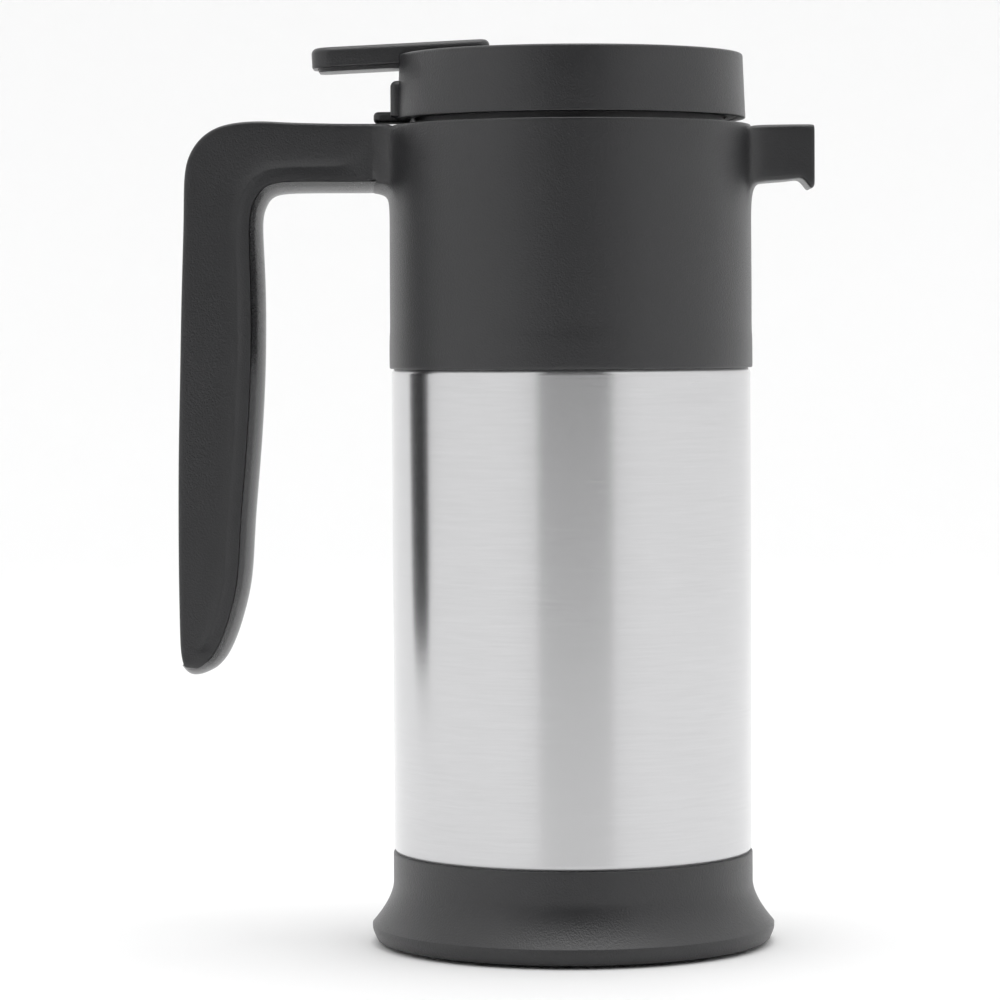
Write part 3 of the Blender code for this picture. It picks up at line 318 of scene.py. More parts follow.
def finishes():
    """Every finish by its slot in the record, and the smoother one of the grip, made once."""
    if not hasattr(finishes, "made"):
        tones = bpy.context.scene.carafe_colours
        finishes.made = {
            "charcoal_plastic": moulded("grained charcoal plastic", tones.charcoal, tones.grain,
                                        tones.grain_depth, 0.33),
            "grip_plastic": moulded("smooth charcoal plastic", tones.charcoal, tones.grain,
                                    tones.grain_depth * 0.3, 0.24),
            "inner_plastic": moulded("grey polypropylene", tones.inner_plastic, tones.grain * 1.6,
                                     tones.grain_depth * 0.4, 0.38),
            "brushed_steel": brushed("brushed stainless steel", tones.steel, tones.brushing),
            "polished_steel": polished("polished steel", tones.bright_steel),
            "silvered_glass": silvered("silvered glass", tones.glass),
            "elastomer": rubbery("black elastomer", tones.elastomer, 0.78, 0.00035),
            "silicone": rubbery("grey silicone", tones.silicone, 0.52, 0.00030),
        }
    return finishes.made


# ---- mesh helpers -------------------------------------------------------------------
def new_piece(name, mesh):
    piece = bpy.data.objects.new(name, mesh)
    bpy.context.scene.collection.objects.link(piece)
    return piece


def skin(name, corners, faces, outward=True):
    """A mesh piece from corners and faces, its doubles merged and its faces turned outwards."""
    mesh = bpy.data.meshes.new(name)
    mesh.from_pydata([tuple(corner) for corner in corners], [], faces)
    shape = bmesh.new()
    shape.from_mesh(mesh)
    bmesh.ops.remove_doubles(shape, verts=shape.verts, dist=1e-7)
    if outward:
        bmesh.ops.recalc_face_normals(shape, faces=shape.faces)
    shape.to_mesh(mesh)
    shape.free()
    return new_piece(name, mesh)


def eased(corners, closed=False, steps=5):
    """A line of (r, z) or (r, z, softness) corners, each soft corner replaced by a curve."""
    points = [Vector(corner[:2]) for corner in corners]
    soft = [corner[2] if len(corner) > 2 else 0.0 for corner in corners]
    line = []
    for i, (point, ease) in enumerate(zip(points, soft)):
        if not ease or (not closed and i in (0, len(points) - 1)):
            line.append(point)
            continue
        before = points[i - 1] - point
        after = points[(i + 1) % len(points)] - point
        start = point + before.normalized() * min(ease, before.length * 0.48)
        end = point + after.normalized() * min(ease, after.length * 0.48)
        for step in range(steps + 1):
            share = step / steps
            line.append(start * (1 - share) ** 2 + point * 2 * share * (1 - share) + end * share ** 2)
    return [(point.x, point.y) for point in line]


def turned(name, outline, sides=SHOWN_SIDES, closed=True, centre=(0, 0)):
    """Turn an (r, z) outline round Z. One that starts and ends on the axis is a solid."""
    count = len(outline)
    corners = [(centre[0] + r * cos(tau * j / sides), centre[1] + r * sin(tau * j / sides), z)
               for j in range(sides) for r, z in outline]
    faces = []
    for j in range(sides):
        here = j * count
        there = (j + 1) % sides * count
        for i in range(count if closed else count - 1):
            following = (i + 1) % count
            face = [here + i, there + i, there + following, here + following]
            if outline[i][0] < 1e-9:
                face.remove(there + i)
            if outline[following][0] < 1e-9:
                face.remove(there + following)
            if len(face) > 2:
                faces.append(face)
    return skin(name, corners, faces)


def loft(name, rings, capped=True):
    """A skin over rings of equal point counts."""
    count = len(rings[0])
    corners = [point for ring in rings for point in ring]
    faces = [(row * count + i, row * count + (i + 1) % count, (row + 1) * count + (i + 1) % count,
              (row + 1) * count + i) for row in range(len(rings) - 1) for i in range(count)]
    if capped:
        faces += [tuple(range(count)), tuple((len(rings) - 1) * count + i for i in range(count))]
    return skin(name, corners, faces)


def rounded_plan(x_low, x_high, half_width, corner_low, corner_high, z, steps=8):
    """A rectangle in plan with a corner radius at each end."""
    ring = []
    for x, y, corner, start in ((x_high, half_width, corner_high, 0), (x_low, half_width, corner_low, 90),
                                (x_low, -half_width, corner_low, 180), (x_high, -half_width, corner_high, 270)):
        inward_x = -1 if x == x_high else 1
        inward_y = -1 if y > 0 else 1
        for step in range(steps + 1):
            turn = radians(start + 90 * step / steps)
            ring.append(Vector((x + inward_x * corner + corner * cos(turn),
                                y + inward_y * corner + corner * sin(turn), z)))
    return ring


def soft_block(name, x_low, x_high, half_width, z_low, z_high, corner_low, corner_high, top, bottom, steps=5):
    """A block with rounded corners in plan and softened upper and lower edges."""
    layers = [(bottom * (1 - sin(pi / 2 * s / steps)), z_low + bottom * (1 - cos(pi / 2 * s / steps)))
              for s in range(steps + 1)]
    layers += [(top * (1 - cos(pi / 2 * s / steps)), z_high - top * (1 - sin(pi / 2 * s / steps)))
               for s in range(steps + 1)]
    rings = []
    for inset, z in layers:
        rings.append(rounded_plan(x_low + inset, x_high - inset, half_width - inset,
                                  max(corner_low - inset, 0.0002), max(corner_high - inset, 0.0002), z))
    return loft(name, rings)


def rod(name, radius, start, end, sides=SMALL_SIDES, chamfer=0.0):
    """A straight round bar from one point to another."""
    start = Vector(start)
    along = Vector(end) - start
    size = along.length
    line = [(0, 0), (radius - chamfer, 0), (radius, chamfer), (radius, size - chamfer), (radius - chamfer, size),
            (0, size)] if chamfer else [(0, 0), (radius, 0), (radius, size), (0, size)]
    piece = turned(name, line, sides, closed=False)
    turn = Vector((0, 0, 1)).rotation_difference(along).to_matrix().to_4x4()
    piece.data.transform(Matrix.Translation(start) @ turn)
    return piece


def upright(name, radius, middle, z_low, z_high, sides=SMALL_SIDES):
    """A rod that stands over a point of the plan."""
    return rod(name, radius, (middle.x, middle.y, z_low), (middle.x, middle.y, z_high), sides)


def settle(piece):
    """Make a piece's modifiers part of its mesh."""
    evaluated = piece.evaluated_get(bpy.context.evaluated_depsgraph_get())
    mesh = bpy.data.meshes.new_from_object(evaluated)
    piece.modifiers.clear()
    piece.data = mesh
    mesh.name = piece.name
    return piece


def combine(piece, operation, *others):
    """Union, difference or intersection with other solids, which are then thrown away."""
    for other in others:
        step = piece.modifiers.new(operation, "BOOLEAN")
        step.operation = operation
        step.solver = "EXACT"
        step.object = other
        other.hide_render = True
    before = len(piece.data.vertices)
    settle(piece)
    for other in others:
        bpy.data.objects.remove(other)
    if len(piece.data.vertices) < before * 0.7:
        raise RuntimeError(f"{piece.name} lost its shape in a {operation.lower()}")
    return piece


def smooth(piece, angle=32):
    """Smooth shading that stops at edges sharper than an angle."""
    piece.data.shade_smooth()
    piece.data.set_sharp_from_angle(angle=radians(angle))
    return piece


def present(piece, body, slot, *nodes, angle=32, finish=None):
    """Give a finished piece its finish and its body, and hide the nodes it stands for."""
    piece.data.materials.clear()
    piece.data.materials.append(finishes()[finish or slot])
    for polygon in piece.data.polygons:
        polygon.material_index = 0
    smooth(piece, angle)
    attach(piece, body)
    if nodes:
        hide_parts(*nodes)
    return piece


def turned_piece(name, outline, body, slot, node, sides=SHOWN_SIDES, steps=5, closed=True):
    """A turned piece that is finished as it leaves the lathe."""
    return present(turned(name, eased(outline, closed, steps), sides, closed), body, slot, node)


def curve_through(points, steps):
    """A smooth line through points of any size, several steps between each pair."""
    points = [Vector(point) for point in points]
    padded = [points[0] * 2 - points[1], *points, points[-1] * 2 - points[-2]]
    line = []
    for a, b, c, d in zip(padded, padded[1:], padded[2:], padded[3:]):
        for step in range(steps):
            t = step / steps
            line.append(((b * 2) + (c - a) * t + (a * 2 - b * 5 + c * 4 - d) * t * t
                         + (b * 3 - a - c * 3 + d) * t ** 3) / 2)
    return line + [points[-1]]


# ---- foot and sleeve ----------------------------------------------------------------
def make_foot():
    sizes = bpy.context.scene.carafe_body
    radius, top, edge = sizes.body_radius, sizes.foot_top, sizes.foot_edge
    widest = reach("foot_base")
    pad_radius, pad_top = reach("foot_pad"), high("foot_pad")
    rim = 0.0055
    steps = 26
    line = [(radius - edge, top), (radius, top, edge)]
    for step in range(steps + 1):
        share = step / steps
        line.append((radius + (widest - radius) * share ** sizes.flare_power,
                     sizes.flare_height + (rim - sizes.flare_height) * share))
    line += [(widest, 0.0040, 0.0012), (widest - 0.0014, 0.0008, 0.0006), (pad_radius + SEAM, 0.0008),
             (pad_radius + SEAM, pad_top + SEAM), (0, pad_top + SEAM)]
    ledge = low("steel_sleeve") - SEAM
    cup = reach("support_cup") + SEAM
    floor = pad_top + SEAM + 0.0025
    inside = [(0, floor), (cup, floor, 0.0008), (cup, ledge), (REBATE_RADIUS, ledge), (REBATE_RADIUS, top)]
    foot = turned("foot", eased(inside + line), closed=False)
    for number, middle, least, most in fastened("foot_screw"):
        head = (most.x - least.x) / 2
        combine(foot, "DIFFERENCE",
                upright(f"counterbore {number}", head + SEAM, middle, 0, least.z + 0.0021),
                upright(f"bore {number}", head / 2 + SEAM, middle, 0, floor + 0.002))
    present(foot, "jug", "charcoal_plastic", "foot_base")

    grooves = []
    for number in range(6):
        r = 0.0475 - number * 0.0035
        grooves += [(r, 0.0), (r - 0.0003, 0.0006, 0.0002), (r - 0.0012, 0.0006, 0.0002), (r - 0.0015, 0.0)]
    pad = [(0, pad_top), (pad_radius, pad_top, 0.0004), (pad_radius, 0.0, 0.0005), *grooves, (0, 0)]
    turned_piece("foot_grip_pad", pad, "jug", "elastomer", "foot_pad", steps=3, closed=False)


def make_sleeve():
    sizes = bpy.context.scene.carafe_body
    least, most = low("steel_sleeve"), high("steel_sleeve")
    seen_low, seen_high = sizes.foot_top, sizes.shoulder_low
    r = sizes.sleeve_radius
    neck = r - 0.0009
    wall = 0.0006
    slope = 0.0011

    def line(depth):
        return [(neck - depth, most), (neck - depth, seen_high + 0.0002, 0.0004),
                (r - depth, seen_high - slope, 0.0006), (r - depth, seen_low + slope, 0.0006),
                (neck - depth, seen_low - 0.0002, 0.0004), (neck - depth, least)]

    turned_piece("steel_body", line(0) + line(wall)[::-1], "jug", "brushed_steel", "steel_sleeve", 256)


# ---- shoulder, handle and spout -----------------------------------------------------
# Handle outline in millimetres: past the body (out) and below the arm's top (down), the
# outer back and the inner grip side by side, from the arm round the corner and down.
HANDLE_STATIONS = (
    ((14.0, 0.0), (12.0, 19.6)), ((28.0, -0.4), (26.2, 19.6)), ((38.0, -0.9), (32.0, 20.1)),
    ((47.0, 0.1), (34.3, 21.4)), ((52.8, 3.0), (35.3, 23.0)), ((56.7, 7.8), (36.2, 25.2)),
    ((58.6, 14.5), (36.6, 28.4)), ((58.9, 27.5), (36.5, 34.0)), ((59.7, 49.1), (35.9, 49.4)),
    ((60.3, 72.0), (36.2, 72.0)), ((60.9, 95.0), (37.6, 94.0)), ((61.1, 115.0), (39.4, 114.0)),
)
# The same for the tip, with the joint between handle and cover in the middle.
TIP_STATIONS = (
    ((61.1, 130.0), (44.0, 130.0), (40.4, 130.3)), ((61.0, 140.0), (46.2, 140.2), (42.8, 141.0)),
    ((60.9, 147.0), (48.5, 147.0), (45.2, 148.2)), ((60.7, 151.3), (50.7, 151.5), (47.9, 153.6)),
    ((60.3, 153.9), (53.0, 154.5), (51.0, 156.9)),
)
TIP_END = ((59.7, 156.0), (55.6, 156.5))
# How the cover goes on round the tip to the handle's back: its joint and its face.
COVER_WRAP = (
    ((55.4, 155.5), (54.5, 158.5)), ((57.4, 155.7), (57.4, 158.9)), ((59.0, 155.6), (59.4, 158.0)),
    ((60.2, 155.2), (60.6, 156.2)),
)
# Rings at a bar's root: out from the wall and drop of its underside in millimetres, with the
# share of its spread before the drop and the share of the wall's curve after it.
ROOT = ((0.9, 0.66, 1.1, 1.0), (2.4, 0.34, 0.4, 0.75), (4.6, 0.16, 0.05, 0.45))
STEM = ((5.0, 0.14, 0.0, 0.42), (8.4, 0.03, 0.0, 0.1))      # the arm past the joint with its cover
COVER_STEM = ((3.6, 0.14, 0.0, 0.6), (5.0, 0.13, 0.0, 0.42), (8.4, 0.03, 0.0, 0.1))
ROOT_DROP = 0.0004           # how far a bar's top sinks at its root
GRIP_STATION = 6             # station from which the cover has its full depth
COLUMNS = 72                 # of the shoulder's cage
ARM_COLUMNS = 4              # columns to each side of the middle of the handle's opening
SPOUT_COLUMNS = 3
SIDE_ROWS = 5                # rows down an opening's side
ARM_CORNER = 2 * ARM_COLUMNS + SIDE_ROWS    # where a ring of the arm turns into its finger side
# Down a bar's side: the depth as a share, or below zero in metres from the inner side, and the inset.
STEM_SIDES = ((0.12, 0), (0.35, 0), (0.6, 0), (0.84, 0), (1.0, 0))
SPOUT_SIDES = ((0.13, 0), (0.36, 0), (0.62, 0), (0.86, 0), (1.0, 0))
DUCT_SIDES = ((0.10, 0), (0.35, 0), (0.65, 0), (0.90, 0), (1.0, 0))
COVER_SHARES = (0.97, 0.93, 0.89, 0.85, 0.80)               # half widths down the crowned cover's side
# The spout past its root, in millimetres: back from its end, rise of its underside, and lean of its end.
SPOUT_STATIONS = (
    (7.5, 0.5, 0), (5.2, 0.9, 0), (3.9, 0.9, 0), (3.0, 0.3, 0), (2.2, -0.7, 0), (1.4, -1.8, 0), (0.8, -2.0, 0.05),
    (0.2, -1.4, 0.15), (0.0, -0.9, 0.45),
)


def section(outer, inner, half_width, half_columns, edge, sides, crown=0.0):
    """One ring of a bar: across its outer side, down, back along its inner side and up.

    outer and inner are points on the bar's centre plane. sides gives, for the points
    down a side, the depth and how far each lies inside the half width. crown is how
    far the inner side bulges."""
    depth = (inner - outer).length
    down = (inner - outer) / depth
    tight = 1 - edge / half_width
    spread = [1.0, tight] + [tight * (1 - step / (half_columns - 1)) for step in range(1, half_columns)]
    spread += [-share for share in reversed(spread[:-1])]
    steps = [(share * depth if share >= 0 else depth + share, inset) for share, inset in sides[:-1]]
    top = [outer + Vector((0, half_width * share, 0)) for share in spread]
    right = [outer + down * deep + Vector((0, inset - half_width, 0)) for deep, inset in steps]
    narrow = half_width - sides[-1][1]
    bottom = [inner + Vector((0, -narrow * share, 0)) - down * crown * (narrow * share / half_width) ** 2
              for share in spread]
    left = [outer + down * deep + Vector((0, half_width - inset, 0)) for deep, inset in reversed(steps)]
    return top + right + bottom + left


class Cage:
    """Corners and quads that a subdivision surface smooths, with the edges it leaves sharp."""

    def __init__(self):
        self.corners = []
        self.faces = []
        self.creased = []

    def ring(self, points):
        start = len(self.corners)
        self.corners += [Vector(point) for point in points]
        return list(range(start, start + len(points)))

    def bridge(self, ring, following):
        count = len(ring)
        for i in range(count):
            j = (i + 1) % count
            self.faces.append((ring[i], ring[j], following[j], following[i]))

    def through(self, rings):
        for ring, following in zip(rings, rings[1:]):
            self.bridge(ring, following)

    def cap(self, ring, half_columns, rows):
        """Close a ring with a grid that runs between its opposite sides."""
        wide = 2 * half_columns
        top = ring[:wide + 1]
        right = ring[wide:wide + rows + 1]
        bottom = list(reversed(ring[wide + rows:2 * wide + rows + 1]))
        left = [ring[0]] + list(reversed(ring[2 * wide + rows:]))
        grid = [top]
        for row in range(1, rows):
            share = row / rows
            inner = []
            for column in range(1, wide):
                across = column / wide
                high_low = self.corners[top[column]].lerp(self.corners[bottom[column]], share)
                sideways = self.corners[left[row]].lerp(self.corners[right[row]], across)
                corner = (self.corners[top[0]].lerp(self.corners[top[-1]], across)).lerp(
                    self.corners[bottom[0]].lerp(self.corners[bottom[-1]], across), share)
                inner.append(high_low + sideways - corner)
            grid.append([left[row]] + self.ring(inner) + [right[row]])
        grid.append(bottom)
        for upper, lower in zip(grid, grid[1:]):
            for column in range(wide):
                self.faces.append((upper[column], upper[column + 1], lower[column + 1], lower[column]))

    def crease(self, rings, places, strength):
        """Sharpen the lines that run through the same places of following rings."""
        for place in places:
            for ring, following in zip(rings, rings[1:]):
                self.creased.append((ring[place], following[place], strength))

    def crease_loop(self, ring, strength, closed=True):
        following = ring[1:] + ring[:1] if closed else ring[1:]
        self.creased += [(corner, other, strength) for corner, other in zip(ring, following)]

    def build(self, name, levels=2):
        mesh = bpy.data.meshes.new(name)
        shape = bmesh.new()
        vertices = [shape.verts.new(corner) for corner in self.corners]
        for face in self.faces:
            shape.faces.new([vertices[corner] for corner in face])
        layer = shape.edges.layers.float.new("crease_edge")
        for a, b, strength in self.creased:
            edge = shape.edges.get((vertices[a], vertices[b]))
            if edge:
                edge[layer] = strength
        bmesh.ops.recalc_face_normals(shape, faces=shape.faces)
        shape.to_mesh(mesh)
        shape.free()
        piece = new_piece(name, mesh)
        subdivide = piece.modifiers.new("Smooth", "SUBSURF")
        subdivide.levels = subdivide.render_levels = levels
        return settle(piece)


def handle_point(out, down):
    """A point of the handle's outline, from millimetres past the body and below the arm's top."""
    body = bpy.context.scene.carafe_body
    return Vector((-body.body_radius - out * MM, 0, body.arm_top - down * MM))


def handle_line(steps=2):
    """Outer back, joint and inner face of the handle, from the arm to the tip."""
    sizes = bpy.context.scene.carafe_handle
    stations = []
    for number, (outer, inner) in enumerate(HANDLE_STATIONS):
        outer, inner = Vector(outer), Vector(inner)
        share = min(number / GRIP_STATION, 1)
        depth = (sizes.arm_cover_depth + (sizes.cover_depth - sizes.arm_cover_depth) * share) / MM
        stations.append((*outer, *(inner + (outer - inner).normalized() * depth), *inner))
    stations += [(*outer, *joint, *inner) for outer, joint, inner in TIP_STATIONS]
    return [(handle_point(a, b), handle_point(c, d), handle_point(e, f))
            for a, b, c, d, e, f in curve_through(stations, steps)]


def wrap(ring, radius, out, curved, direction):
    """Set a flat ring a distance out from a round wall and bend it after the wall."""
    for point in ring:
        bend = radius - sqrt(max(radius * radius - point.y * point.y, 0.0))
        point.x = direction * (radius + out * MM - bend * curved)
    return ring


def root_rings(cage, places, radius, top, under, half_width, half_columns, edge, sides, spread, direction,
               crown=0.0):
    """Rings that swell from a bar's full section into the shoulder's wall."""
    rings = []
    for out, share, drop, curved in places:
        ring = section(Vector((0, 0, top - ROOT_DROP * share)), Vector((0, 0, under - drop * MM)),
                       half_width + spread * share, half_columns, edge * (1 + 2 * share), sides, crown)
        rings.append(cage.ring(wrap(ring, radius, out, curved, direction)))
    return rings


def make_shoulder():
    body = bpy.context.scene.carafe_body
    sizes = bpy.context.scene.carafe_handle
    cage = Cage()
    foot, top = body.shoulder_low, body.shoulder_top
    outer = body.shoulder_radius
    upper = outer - SHOULDER_DRAFT
    inner = body.body_radius - body.shoulder_wall
    ceiling = top - body.shoulder_wall
    mouth, edge = body.mouth_radius, body.shoulder_edge
    ledge = high("steel_sleeve") + SEAM
    outside = [(REBATE_RADIUS, foot), (outer - edge, foot), (outer, foot), (outer, foot + edge),
               (outer, foot + 0.0094), (outer - 0.00022, foot + 0.0104), (outer - 0.0002, foot + 0.0170),
               (outer - 0.0002, 0.1960), (outer - 0.00025, 0.2060)]
    outer_rows = [(upper, z) for z in (0.2146, 0.2184, 0.2228, 0.2272, 0.2316, 0.2354)]
    rim = [(upper, top), (upper - edge, top), ((upper + mouth) / 2, top), (mouth + edge / 2, top), (mouth, top),
           (mouth, top - edge / 2), (mouth, ceiling + edge / 2), (mouth, ceiling), (mouth + edge, ceiling),
           (inner - edge, ceiling), (inner, ceiling), (inner, ceiling - edge)]
    inner_rows = [(inner, z) for z in (0.2316, 0.2292, 0.2266, 0.2240, 0.2216, 0.2196)]
    lower = [(inner, 0.2100), (inner, 0.1900), (inner, ledge + edge), (inner, ledge),
             (REBATE_RADIUS - 0.0004, ledge), (REBATE_RADIUS, ledge), (REBATE_RADIUS, ledge - edge),
             (REBATE_RADIUS, foot + edge)]
    profile = outside + outer_rows + rim + inner_rows + lower
    outer_start = len(outside)
    inner_start = len(outside + outer_rows + rim)
    lathe = [cage.ring([(r * cos(tau * j / COLUMNS), r * sin(tau * j / COLUMNS), z) for r, z in profile])
             for j in range(COLUMNS)]

    def column(j):
        return lathe[j % COLUMNS]

    def within(j, middle, half):
        """Whether the strip of faces after column j lies within an opening."""
        return (j - middle + half) % COLUMNS < 2 * half

    for j in range(COLUMNS):
        here, there = column(j), column(j + 1)
        arm, spout = within(j, COLUMNS // 2, ARM_COLUMNS), within(j, 0, SPOUT_COLUMNS)
        for i in range(len(profile)):
            outer_hole = (arm or spout) and outer_start <= i < outer_start + SIDE_ROWS
            inner_hole = spout and inner_start <= i < inner_start + SIDE_ROWS
            if not outer_hole and not inner_hole:
                k = (i + 1) % len(profile)
                cage.faces.append((here[i], there[i], there[k], here[k]))

    def opening(middle, half, upper_row, lower_row, step):
        """An opening's border: across its top, down, back along its bottom and up."""
        left, right = middle - half * step, middle + half * step
        down = 1 if lower_row > upper_row else -1
        across = range(left, right + step, step)
        loop = [column(j)[upper_row] for j in across]
        loop += [column(right)[row] for row in range(upper_row + down, lower_row, down)]
        loop += [column(j)[lower_row] for j in reversed(across)]
        loop += [column(left)[row] for row in range(lower_row - down, upper_row, -down)]
        return loop

    # handle
    half, strip, cover = sizes.half_width, sizes.strip_width, sizes.arm_cover_depth
    arm_under = body.arm_top - ARM_DEPTH
    root_sides = ((0.10, 0), (0.45, 0), (-cover * 1.05, 0), (-cover * 0.85, half * 0.08), (1.0, half * 0.20))
    grooved = ((-strip - 0.0011, 0), (-strip, sizes.groove_depth), (-strip + 0.0012, sizes.strip_inset),
               (1.0, sizes.strip_inset))
    plain_tip = ((0.2, 0), (0.42, 0), (0.6, min(0.0002, sizes.strip_inset)), (0.8, sizes.strip_inset),
                 (1.0, sizes.strip_inset))
    rings = root_rings(cage, ROOT, upper, body.arm_top, arm_under, half, ARM_COLUMNS, sizes.edge, root_sides,
                       sizes.root_spread, -1, cover)
    rings += root_rings(cage, STEM, upper, body.arm_top, arm_under + cover + sizes.seam, half, ARM_COLUMNS,
                        sizes.edge, STEM_SIDES, sizes.root_spread, -1)
    line = [(back, joint) for back, joint, _ in handle_line()]
    for back, joint in [*line, [handle_point(*point) for point in TIP_END]]:
        depth = (joint - back).length - sizes.seam
        end = back + (joint - back).normalized() * depth
        sides = plain_tip if depth < 2.6 * strip else ((sizes.edge / depth, 0), *grooved)
        rings.append(cage.ring(section(back, end, half, ARM_COLUMNS, sizes.edge, sides)))
    cage.bridge(opening(COLUMNS // 2, ARM_COLUMNS, outer_start + SIDE_ROWS, outer_start, 1), rings[0])
    cage.through(rings)
    cage.cap(rings[-1], ARM_COLUMNS, SIDE_ROWS)
    step, past = rings[len(ROOT) - 1], rings[len(ROOT):]
    cage.crease(past, (ARM_CORNER, ARM_CORNER + 2 * ARM_COLUMNS), 0.95)
    for ring in (step, past[0]):
        cage.crease_loop(ring[ARM_CORNER:ARM_CORNER + 2 * ARM_COLUMNS + 1], 0.9, closed=False)

    # spout and the duct through it
    end_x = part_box("shoulder_housing")[1].x
    spout_top = top - 0.0002
    spout_low = spout_top - 0.0165
    wide, soft = 0.0100, 0.0025
    rings = root_rings(cage, ROOT, upper, spout_top, spout_low + 0.0002, wide, SPOUT_COLUMNS, soft, SPOUT_SIDES,
                       0.0028, 1)
    for back, rise, lean in SPOUT_STATIONS:
        x = end_x - back * MM
        rings.append(cage.ring(section(
            Vector((x, 0, spout_top - lean * MM)), Vector((x, 0, spout_low + rise * MM)), wide - lean * MM,
            SPOUT_COLUMNS, soft, SPOUT_SIDES)))
    least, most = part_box("spout_nozzle")
    for x, grow in ((end_x, 0.0007), (end_x - 0.0001, 0.0001), (end_x - 0.0012, 0), (end_x - 0.0100, 0),
                    (inner + 0.0030, 0), (inner + 0.0004, 0.0006)):
        room = SEAM + grow
        rings.append(cage.ring(section(Vector((x, 0, most.z + room)), Vector((x, 0, least.z - room)),
                                       most.y + room, SPOUT_COLUMNS, 0.0008, DUCT_SIDES)))
    cage.bridge(opening(0, SPOUT_COLUMNS, outer_start + SIDE_ROWS, outer_start, -1), rings[0])
    cage.through(rings)
    cage.bridge(rings[-1], opening(0, SPOUT_COLUMNS, inner_start, inner_start + SIDE_ROWS, -1))
    present(cage.build("shoulder_and_handle"), "jug", "charcoal_plastic", "shoulder_housing", angle=40)


def make_handle_cover():
    body = bpy.context.scene.carafe_body
    sizes = bpy.context.scene.carafe_handle
    cage = Cage()
    upper = body.shoulder_radius - SHOULDER_DRAFT
    half, cover = sizes.half_width, sizes.arm_cover_depth
    arm_under = body.arm_top - ARM_DEPTH
    edge = 0.0012
    side = tuple((1 - share ** 2, half * (1 - share)) for share in COVER_SHARES)

    rings = []
    for out, share, drop, curved in COVER_STEM:
        ring = section(Vector((0, 0, arm_under + cover)), Vector((0, 0, arm_under - drop * MM)),
                       half - sizes.strip_inset + sizes.root_spread * share, ARM_COLUMNS, edge, side, cover)
        rings.append(cage.ring(wrap(ring, upper, out, curved, -1)))
    line = [(joint, face) for _, joint, face in handle_line()]
    line += [(handle_point(a, b), handle_point(c, d))
             for a, b, c, d in curve_through([(*joint, *face) for joint, face in COVER_WRAP], 2)]
    for joint, face in line:
        rings.append(cage.ring(section(joint, face, half - sizes.strip_inset, ARM_COLUMNS, edge, side,
                                       (face - joint).length)))
    cage.cap(rings[0], ARM_COLUMNS, SIDE_ROWS)
    cage.through(rings)
    cage.cap(rings[-1], ARM_COLUMNS, SIDE_ROWS)
    cage.crease(rings, (0, 2 * ARM_COLUMNS), 0.95)
    cage.crease_loop(rings[0], 0.9)
    present(cage.build("grip_cover"), "jug", "charcoal_plastic", "handle_cover", angle=50, finish="grip_plastic")


def make_nozzle():
    least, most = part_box("spout_nozzle")
    wall = 0.0012
    rings = []
    for x, inset in ((least.x, 0), (most.x - 0.0003, 0), (most.x, 0.0003), (most.x, wall - 0.0002),
                     (most.x - 0.0004, wall), (least.x, wall)):
        half = (most.z - least.z) / 2 - inset
        corner = max(0.0014 - inset, 0.0004)
        plan = rounded_plan(-half, half, most.y - inset, corner, corner, 0, steps=4)
        rings.append([Vector((x, point.y, (least.z + most.z) / 2 + point.x)) for point in plan])
    present(loft("spout_liner", rings + [rings[0]], capped=False), "jug", "inner_plastic", "spout_nozzle")


# ---- what the lid uncovers ----------------------------------------------------------
def ridges(name, first_angle, base_z, wall, crest):
    """Thread ridges, each a short helical bar with tapering ends."""
    made = []
    steps = 30
    for start in range(THREAD_STARTS):
        rings = []
        for step in range(steps + 1):
            share = step / steps
            turn = THREAD_SWEEP * share
            angle = first_angle + tau * start / THREAD_STARTS + turn
            z = base_z + THREAD_LEAD * turn / tau
            fade = min(1.0, share / 0.12, (1 - share) / 0.12)
            tip = wall + (crest - wall) * max(fade, 0.08)
            line = ((wall, -THREAD_WIDTH / 2), (tip, -THREAD_WIDTH * 0.30), (tip, THREAD_WIDTH * 0.30),
                    (wall, THREAD_WIDTH / 2))
            rings.append([(r * cos(angle), r * sin(angle), z + dz) for r, dz in line])
        made.append(loft(f"{name} {start + 1}", rings))
    return made


def make_funnel():
    top, seat = high("pouring_funnel"), low("pouring_funnel")
    bore, flange = reach("stopper_seal") + SEAM, reach("pouring_funnel")
    collar, collar_bore = 0.0447, 0.0425
    flange_low, flange_top = seat + 0.0060, seat + 0.0083
    bowl = seat + 0.0080
    outline = [(collar, top, 0.0006), (collar, flange_top, 0.0008), (flange, flange_top, 0.0004),
               (flange, flange_low, 0.0004), (0.0400, flange_low, 0.0010), (bore + 0.0053, seat + 0.0044, 0.0010),
               (bore + 0.0045, seat), (bore, seat, 0.0004), (bore, bowl, 0.0016),
               (collar_bore, bowl + 0.0030, 0.0030), (collar_bore, top, 0.0006)]
    funnel = turned("funnel_collar", eased(outline, closed=True))
    combine(funnel, "UNION", *ridges("collar ridge", radians(90), top - 0.0074, collar_bore + 0.0008,
                                     collar_bore - 0.0013))
    least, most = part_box("spout_nozzle")
    combine(funnel, "DIFFERENCE", soft_block("nozzle window", collar_bore - 0.004, collar + 0.004, most.y + SEAM,
                                             least.z - SEAM, most.z + SEAM, 0.0002, 0.0002, 0.0008, 0.0008))
    for number, middle, _, _ in fastened("funnel_screw"):
        combine(funnel, "DIFFERENCE", upright(f"flange hole {number}", 0.0013, middle, flange_low - 0.002,
                                              flange_top + 0.002, 24))
    present(funnel, "jug", "inner_plastic", "pouring_funnel")


